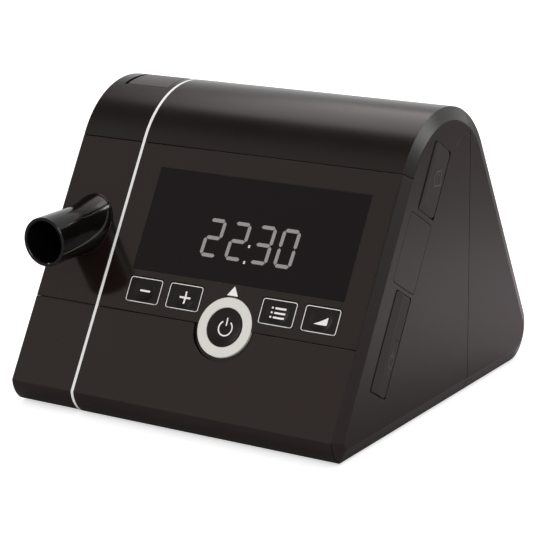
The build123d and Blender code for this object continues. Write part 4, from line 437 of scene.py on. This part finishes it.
lean = Matrix(((1, DIGIT_SLANT, 0, 0), (0, 1, 0, 0), (0, 0, 1, 0), (0, 0, 0, 1)))
drawing.transform(lean)
window_x, window_s = face_place("display_window")
clock_place = (window_x, window_s - DIGITS_DOWN)
apply_to(
    "clock_digits", drawing, FACE, clock_place, "display_window", "housing", digit_ink,
    step=FLAT,
)
colon_ink = plastic(
    "colon_white", COLON_WHITE, rough=0.45, grain=0.001, depth=0.000002, shine=0.2, mottle=0.03,
    bevel=0,
)
drawing = join([(bar(COLON_WIDTH, COLON_LENGTH), COLON_X, y * mm, 0) for y in COLON_UP])
drawing.transform(lean)
apply_to(
    "clock_colon", drawing, FACE, clock_place, "display_window", "housing", colon_ink,
    step=FLAT,
)

# ---------------------------------------------------------------- keys
# Four rounded keys of satin black plastic, each with a round dish for the finger. Their outlines
# and signs are printed in white, and the signs follow the dish.
KEY_BLACK, INK_WHITE = (22, 16, 14), (252, 250, 246)
OUTLINE_WIDTH, OUTLINE_LENGTH, OUTLINE_CORNER, OUTLINE = 17.1 * mm, 11.3 * mm, 1.2 * mm, 0.31 * mm
SIGN_LINE = 0.85 * mm
MINUS_LENGTH, MINUS_CORNER, PLUS_LENGTH = 5.4 * mm, 0.4 * mm, 5.6 * mm
LIST_LENGTH, LIST_X, LIST_CORNER = 5.6 * mm, 0.7 * mm, 0.15 * mm
LIST_ROWS = (-2.05 * mm, 0, 2.05 * mm)
DOT_X, DOT_CORNER = -3.3 * mm, 0.3 * mm
RAMP = ((-3.4 * mm, -1.9 * mm), (3.0 * mm, -1.9 * mm), (3.0 * mm, 1.7 * mm))
RAMP_CORNER = 0.35 * mm
key_plastic = plastic(
    "key_plastic", KEY_BLACK, rough=0.36, grain=0.0004, depth=0.000004, shine=0.35
)
dress(key_plastic, "key_minus", "key_plus", "key_menu", "key_ramp", "key_power")
white_ink = plastic(
    "white_ink", INK_WHITE, rough=0.5, grain=0.0005, depth=0.000004, shine=0.25, mottle=0.03,
    bevel=0,
)


def outlined(shape, line):
    """Thin line along the rim of a flat shape."""
    middle = shape.faces[:]
    bmesh.ops.inset_region(
        shape, faces=middle, thickness=line, use_boundary=True, use_even_offset=True
    )
    bmesh.ops.delete(shape, geom=middle, context="FACES")
    return shape


def plus_sign(length, line):
    """Cross of two bars, cut from a square grid of nine."""
    shape = bmesh.new()
    bmesh.ops.create_grid(shape, x_segments=3, y_segments=3, size=length / 2)
    for vertex in shape.verts:
        for axis in (0, 1):
            if abs(vertex.co[axis]) < length / 3:
                vertex.co[axis] = line / 2 if vertex.co[axis] > 0 else -line / 2
    middles = [(face, face.calc_center_median()) for face in shape.faces]
    corners = [face for face, middle in middles if min(abs(middle.x), abs(middle.y)) > line]
    bmesh.ops.delete(shape, geom=corners, context="FACES")
    return shape


def triangle(points, corner):
    """Triangle with rounded corners."""
    shape = bmesh.new()
    shape.faces.new([shape.verts.new((x, y, 0)) for x, y in points])
    bmesh.ops.bevel(
        shape, geom=shape.verts[:], offset=corner, segments=3, profile=0.5, affect="VERTICES",
        material=-1,
    )
    return shape


rows = [(bar(LIST_LENGTH, SIGN_LINE, LIST_CORNER), LIST_X, y, 0) for y in LIST_ROWS]
dots = [(bar(SIGN_LINE, SIGN_LINE, DOT_CORNER), DOT_X, y, 0) for y in LIST_ROWS]
signs = {
    "minus": [(bar(MINUS_LENGTH, SIGN_LINE, MINUS_CORNER), 0, 0, 0)],
    "plus": [(plus_sign(PLUS_LENGTH, SIGN_LINE), 0, 0, 0)],
    "menu": rows + dots,
    "ramp": [(triangle(RAMP, RAMP_CORNER), 0, 0, 0)],
}
for sign, shapes in signs.items():
    key, body = "key_" + sign, sign + "_key"
    place = face_place(key)
    outline = outlined(bar(OUTLINE_WIDTH, OUTLINE_LENGTH, OUTLINE_CORNER), OUTLINE)
    apply_to(sign + "_outline", outline, FACE, place, key, body, white_ink)
    apply_to(sign + "_sign", join(shapes), FACE, place, key, body, white_ink)

# ---------------------------------------------------------------- power key
# Round dished key inside a ring of white plastic that stands in a moat of the panel. The ring is
# bare. A white triangle on the panel points up from it.
RING_WHITE = (232, 229, 222)
POWER_ARC, POWER_LINE, POWER_GAP, POWER_STEPS = 3.35 * mm, 0.62 * mm, 70, 40
STEM_LENGTH, STEM_UP, STEM_CORNER = 3.5 * mm, 2.9 * mm, 0.2 * mm
POINTER = ((-2.75 * mm, -2.15 * mm), (2.75 * mm, -2.15 * mm), (0, 2.2 * mm))
POINTER_X, POINTER_UP, POINTER_CORNER = -0.2 * mm, 16.4 * mm, 0.15 * mm
ring_white = plastic(
    "ring_plastic", RING_WHITE, rough=0.38, grain=0.0006, depth=0.000006, shine=0.35, mottle=0.03
)
dress(ring_white, "status_ring")
arc = bmesh.new()
inside, outside = POWER_ARC - POWER_LINE / 2, POWER_ARC + POWER_LINE / 2
start = [arc.verts.new((x, 0, 0)) for x in (inside, outside)]
arc_edge = arc.edges.new(start)
bmesh.ops.rotate(arc, matrix=Matrix.Rotation(radians(90 + POWER_GAP / 2), 3, "Z"), verts=start)
bmesh.ops.spin(
    arc, geom=[*start, arc_edge], axis=(0, 0, 1), cent=(0, 0, 0), angle=radians(360 - POWER_GAP),
    steps=POWER_STEPS,
)
power_x, power_s = face_place("key_power")
stem = (bar(POWER_LINE, STEM_LENGTH, STEM_CORNER), 0, STEM_UP, 0)
drawing = join([(arc, 0, 0, 0), stem])
power_place = (power_x, power_s)
apply_to("power_sign", drawing, FACE, power_place, "key_power", "power_key", white_ink)
pointer = triangle(POINTER, POINTER_CORNER)
pointer_place = (power_x + POINTER_X, power_s + POINTER_UP)
apply_to(
    "pointer", pointer, FACE, pointer_place, "control_panel", "housing", white_ink,
    step=FLAT,
)

# ---------------------------------------------------------------- hose connector
# Gloss black tube turned up to a flare where it meets the side part, moulded in one with a standard
# 22 mm cone for the hose cuff, and with a thin raised lip round the foot of the flare.
PIPE_BLACK = (14, 11, 11)
LIP_HEIGHT, LIP_FOOT, LIP_WIDTH = 0.5 * mm, 0.02 * mm, 0.4 * mm
LIP_MERGE = 0.005 * mm
BORE_WALL = 10.4 * mm
SKIRT_FACING = 0.3
pipe_plastic = plastic(
    "pipe_plastic", PIPE_BLACK, rough=0.07, grain=0.003, depth=0.000002, mottle=0.08
)
dress(pipe_plastic, "outlet_pipe")
low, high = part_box("outlet_pipe")
pipe_axis = (low + high) / 2
lip = bmesh.new()
lip.from_mesh(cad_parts["outlet_pipe"].data)
bmesh.ops.remove_doubles(lip, verts=lip.verts, dist=LIP_MERGE)
for height, side in ((LIP_HEIGHT, 1), (LIP_FOOT, -1)):
    bmesh.ops.bisect_plane(
        lip, geom=[*lip.verts, *lip.edges, *lip.faces], plane_co=face_corner + face_out * height,
        plane_no=face_out * side, clear_outer=True,
    )


def skirt(face):
    """True on the outside of the flare."""
    radius = face.calc_center_median() - pipe_axis
    radius.y = 0
    return radius.length > BORE_WALL and face.normal.dot(radius.normalized()) > SKIRT_FACING


bmesh.ops.delete(lip, geom=[f for f in lip.faces if not skirt(f)], context="FACES")
bmesh.ops.solidify(lip, geom=lip.faces[:], thickness=-LIP_WIDTH)
bmesh.ops.recalc_face_normals(lip, faces=lip.faces[:])
place_piece("flare_lip", lip, pipe_plastic, "side_part")

# ---------------------------------------------------------------- release button
# Rocker on the ridge of the side part with a satin top. Its black is lifted to a paler grey, a
# painted sheen for the light its top mirrors. A spring holds it up, and pressing it frees the side
# part.
# Painted sheen: the button's black lifted to a paler grey.
BUTTON_PAINTED_SHEEN = (66, 60, 58)
button_painted_sheen = plastic(
    "button_painted_sheen", BUTTON_PAINTED_SHEEN, rough=0.4, grain=0.0004, depth=0.00001, shine=0.4
)
dress(button_painted_sheen, "release_button")

# ---------------------------------------------------------------- covers of the right-hand end
# Two soft rubber covers, over the card slot and over the data socket, each with a faint raised sign
# of what is behind it, moulded on: a card with its contacts, and a plug. The signs are coloured
# paler than the rubber, a painted highlight of the light on their raised edges. The feet and the
# seal of the air port are of the same rubber.
RUBBER_BLACK, SIGN_PAINTED_HIGHLIGHT = (42, 37, 35), (88, 80, 76)
END_X = 85.6 * mm  # the outer face of the rubber covers
SIGN_EDGE, SIGN_RISE = 0.42 * mm, 0.12 * mm
SIGN_SHEAR_X, SIGN_SHEAR_Y = 0.1, -0.12  # the sign follows the slant of its cover
CARD_WIDTH, CARD_LENGTH, CARD_NOTCH = 6.9 * mm, 6.6 * mm, 2.3 * mm
CONTACT_LENGTH, CONTACT_UP, CONTACTS = 1.5 * mm, 1.7 * mm, (0.2, 1.4)
CARD_BACK, CARD_UP = 2.3 * mm, 0.1 * mm
PLUG_WIDTH, PLUG_LENGTH, PLUG_CORNER = 4.2 * mm, 5.2 * mm, 0.5 * mm
LEAD_LENGTH, LEAD_UP = 3.2 * mm, -4.2 * mm
PRONG_LENGTH, PRONG_UP, PRONGS = 1.8 * mm, 3.5 * mm, (-1.1, 1.1)
PLUG_BACK, PLUG_UP = -0.3 * mm, -7.7 * mm
cover_rubber = plastic(
    "cover_rubber", RUBBER_BLACK, rough=0.5, grain=0.0003, depth=0.00003, shine=0.4, mottle=0.25
)
dress(cover_rubber, "card_cover", "port_cover", "feet", "side_feet", "port_seal")
# Painted highlight: the raised signs coloured paler than the rubber round them.
sign_painted_highlight = plastic(
    "sign_painted_highlight", SIGN_PAINTED_HIGHLIGHT, rough=0.5, grain=0.0003, depth=0.00002, shine=0.4, mottle=0.3,
    bevel=0,
)
END = Matrix(((0, 0, 1, END_X), (1, 0, 0, 0), (0, 1, 0, 0), (0, 0, 0, 1)))


def end_place(node, back, up):
    """(y, z) of a point of the right-hand end, from the middle of a node."""
    low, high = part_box(node)
    middle = (low + high) / 2
    return middle.y + back, middle.z + up


card = bar(CARD_WIDTH, CARD_LENGTH)
notch = [v for v in card.verts if v.co.x < 0 < v.co.y]
bmesh.ops.bevel(
    card, geom=notch, offset=CARD_NOTCH, segments=1, profile=0.5, affect="VERTICES", material=-1
)
shear = Matrix(((1, SIGN_SHEAR_X, 0, 0), (SIGN_SHEAR_Y, 1, 0, 0), (0, 0, 1, 0), (0, 0, 0, 1)))
card.transform(shear)
contacts = [(bar(SIGN_EDGE, CONTACT_LENGTH), x * mm, CONTACT_UP, 0) for x in CONTACTS]
drawing = join([(outlined(card, SIGN_EDGE), 0, 0, 0), *contacts])
card_place = end_place("card_cover", CARD_BACK, CARD_UP)
apply_to(
    "card_sign", drawing, END, card_place, "card_cover", "card_flap", sign_painted_highlight,
    thick=SIGN_RISE,
)
plug = outlined(bar(PLUG_WIDTH, PLUG_LENGTH, PLUG_CORNER), SIGN_EDGE)
lead = (bar(SIGN_EDGE, LEAD_LENGTH), 0, LEAD_UP, 0)
prongs = [(bar(SIGN_EDGE, PRONG_LENGTH), x * mm, PRONG_UP, 0) for x in PRONGS]
drawing = join([(plug, 0, 0, 0), lead, *prongs])
drawing.transform(Matrix.Rotation(FACE_TURN - pi / 2, 4, "Z"))
port_place = end_place("port_cover", PLUG_BACK, PLUG_UP)
apply_to(
    "port_sign", drawing, END, port_place, "port_cover", "port_flap", sign_painted_highlight,
    thick=SIGN_RISE,
)

# ---------------------------------------------------------------- inner plastics
# The docking wall, the inner walls and ducts, the silencer and the blower are of unpainted grey
# ABS, without the grain of the casing.
INNER_GREY = (120, 122, 124)
inner = plastic("inner_plastic", INNER_GREY, rough=0.45, grain=0.0008, depth=0.000008, shine=0.4)
dress(inner, "dock_wall", "side_plate", "air_chamber", "filter_box", "silencer_box", "silencer_lid")
dress(inner, "blower_base", "blower_lid", "impeller", "motor_case")

# ---------------------------------------------------------------- soft inner pieces
# Silicone mounts, bellows and coupling. They carry the blower, join it to the ducts, and keep its
# hum off the casing.
SILICONE_GREY = (176, 178, 176)
silicone = plastic("silicone", SILICONE_GREY, rough=0.5, grain=0.0006, depth=0.00001, shine=0.35)
dress(silicone, "blower_mounts", "intake_bellows", "outlet_coupling")

# ---------------------------------------------------------------- foam and filter
# Open-cell foam lines the silencer. The intake filter is a pad of the same kind, paler, held behind
# its hinged cover.
FOAM_GREY, FILTER_WHITE = (62, 62, 66), (196, 198, 200)
foam = plastic(
    "foam", FOAM_GREY, rough=0.95, grain=0.0012, depth=0.0006, shine=0.1, mottle=0.35, bevel=0
)
dress(foam, "silencer_foam")
filter_pad = plastic(
    "filter_pad", FILTER_WHITE, rough=0.95, grain=0.0009, depth=0.0004, shine=0.1, mottle=0.2,
    bevel=0,
)
dress(filter_pad, "air_filter")

# ---------------------------------------------------------------- electronics
# Circuit boards of glass fibre with green lacquer, black moulded sockets, chips and switches, the
# display behind its window, and the parts of the power supply.
BOARD_GREEN, COMPONENT_BLACK, LCD_GREY = (22, 84, 48), (38, 38, 40), (70, 74, 70)
board = plastic(
    "board_lacquer", BOARD_GREEN, rough=0.3, grain=0.0016, depth=0.00005, mottle=0.3, bevel=0
)
dress(board, "control_board", "io_board", "card_board", "power_board")
component = plastic(
    "component_black", COMPONENT_BLACK, rough=0.42, grain=0.0006, depth=0.00001, shine=0.4
)
dress(component, "control_chips", "key_switches", "power_components")
dress(component, "module_socket", "mains_inlet", "memory_card")
lcd = plastic("lcd_glass", LCD_GREY, rough=0.2, grain=0.002, depth=0.000002)
dress(lcd, "lcd_module")

# ---------------------------------------------------------------- metal pieces
# The shaft, the bearings, the screws and the shells of two sockets are of bare steel. The stator is
# wound with copper wire, and the rotor carries a sintered magnet.
STEEL_GREY, COPPER_RED, MAGNET_GREY = (188, 188, 190), (176, 104, 62), (92, 92, 96)
METAL_DEPTH, METAL_MOTTLE = 0.000006, 0.06


def metal(name, colour, rough, grain):
    """Bare metal with a fine uneven polish."""
    material = plastic(name, colour, rough, grain, depth=METAL_DEPTH, mottle=METAL_MOTTLE)
    material.node_tree.nodes["Principled BSDF"].inputs["Metallic"].default_value = 1.0
    return material


steel = metal("steel", STEEL_GREY, rough=0.28, grain=0.0008)
dress(steel, "motor_shaft", "bearings", "base_screws", "card_reader", "port_socket")
copper = metal("copper", COPPER_RED, rough=0.35, grain=0.0005)
dress(copper, "motor_stator")
magnet = metal("magnet", MAGNET_GREY, rough=0.4, grain=0.0008)
dress(magnet, "rotor_magnet")
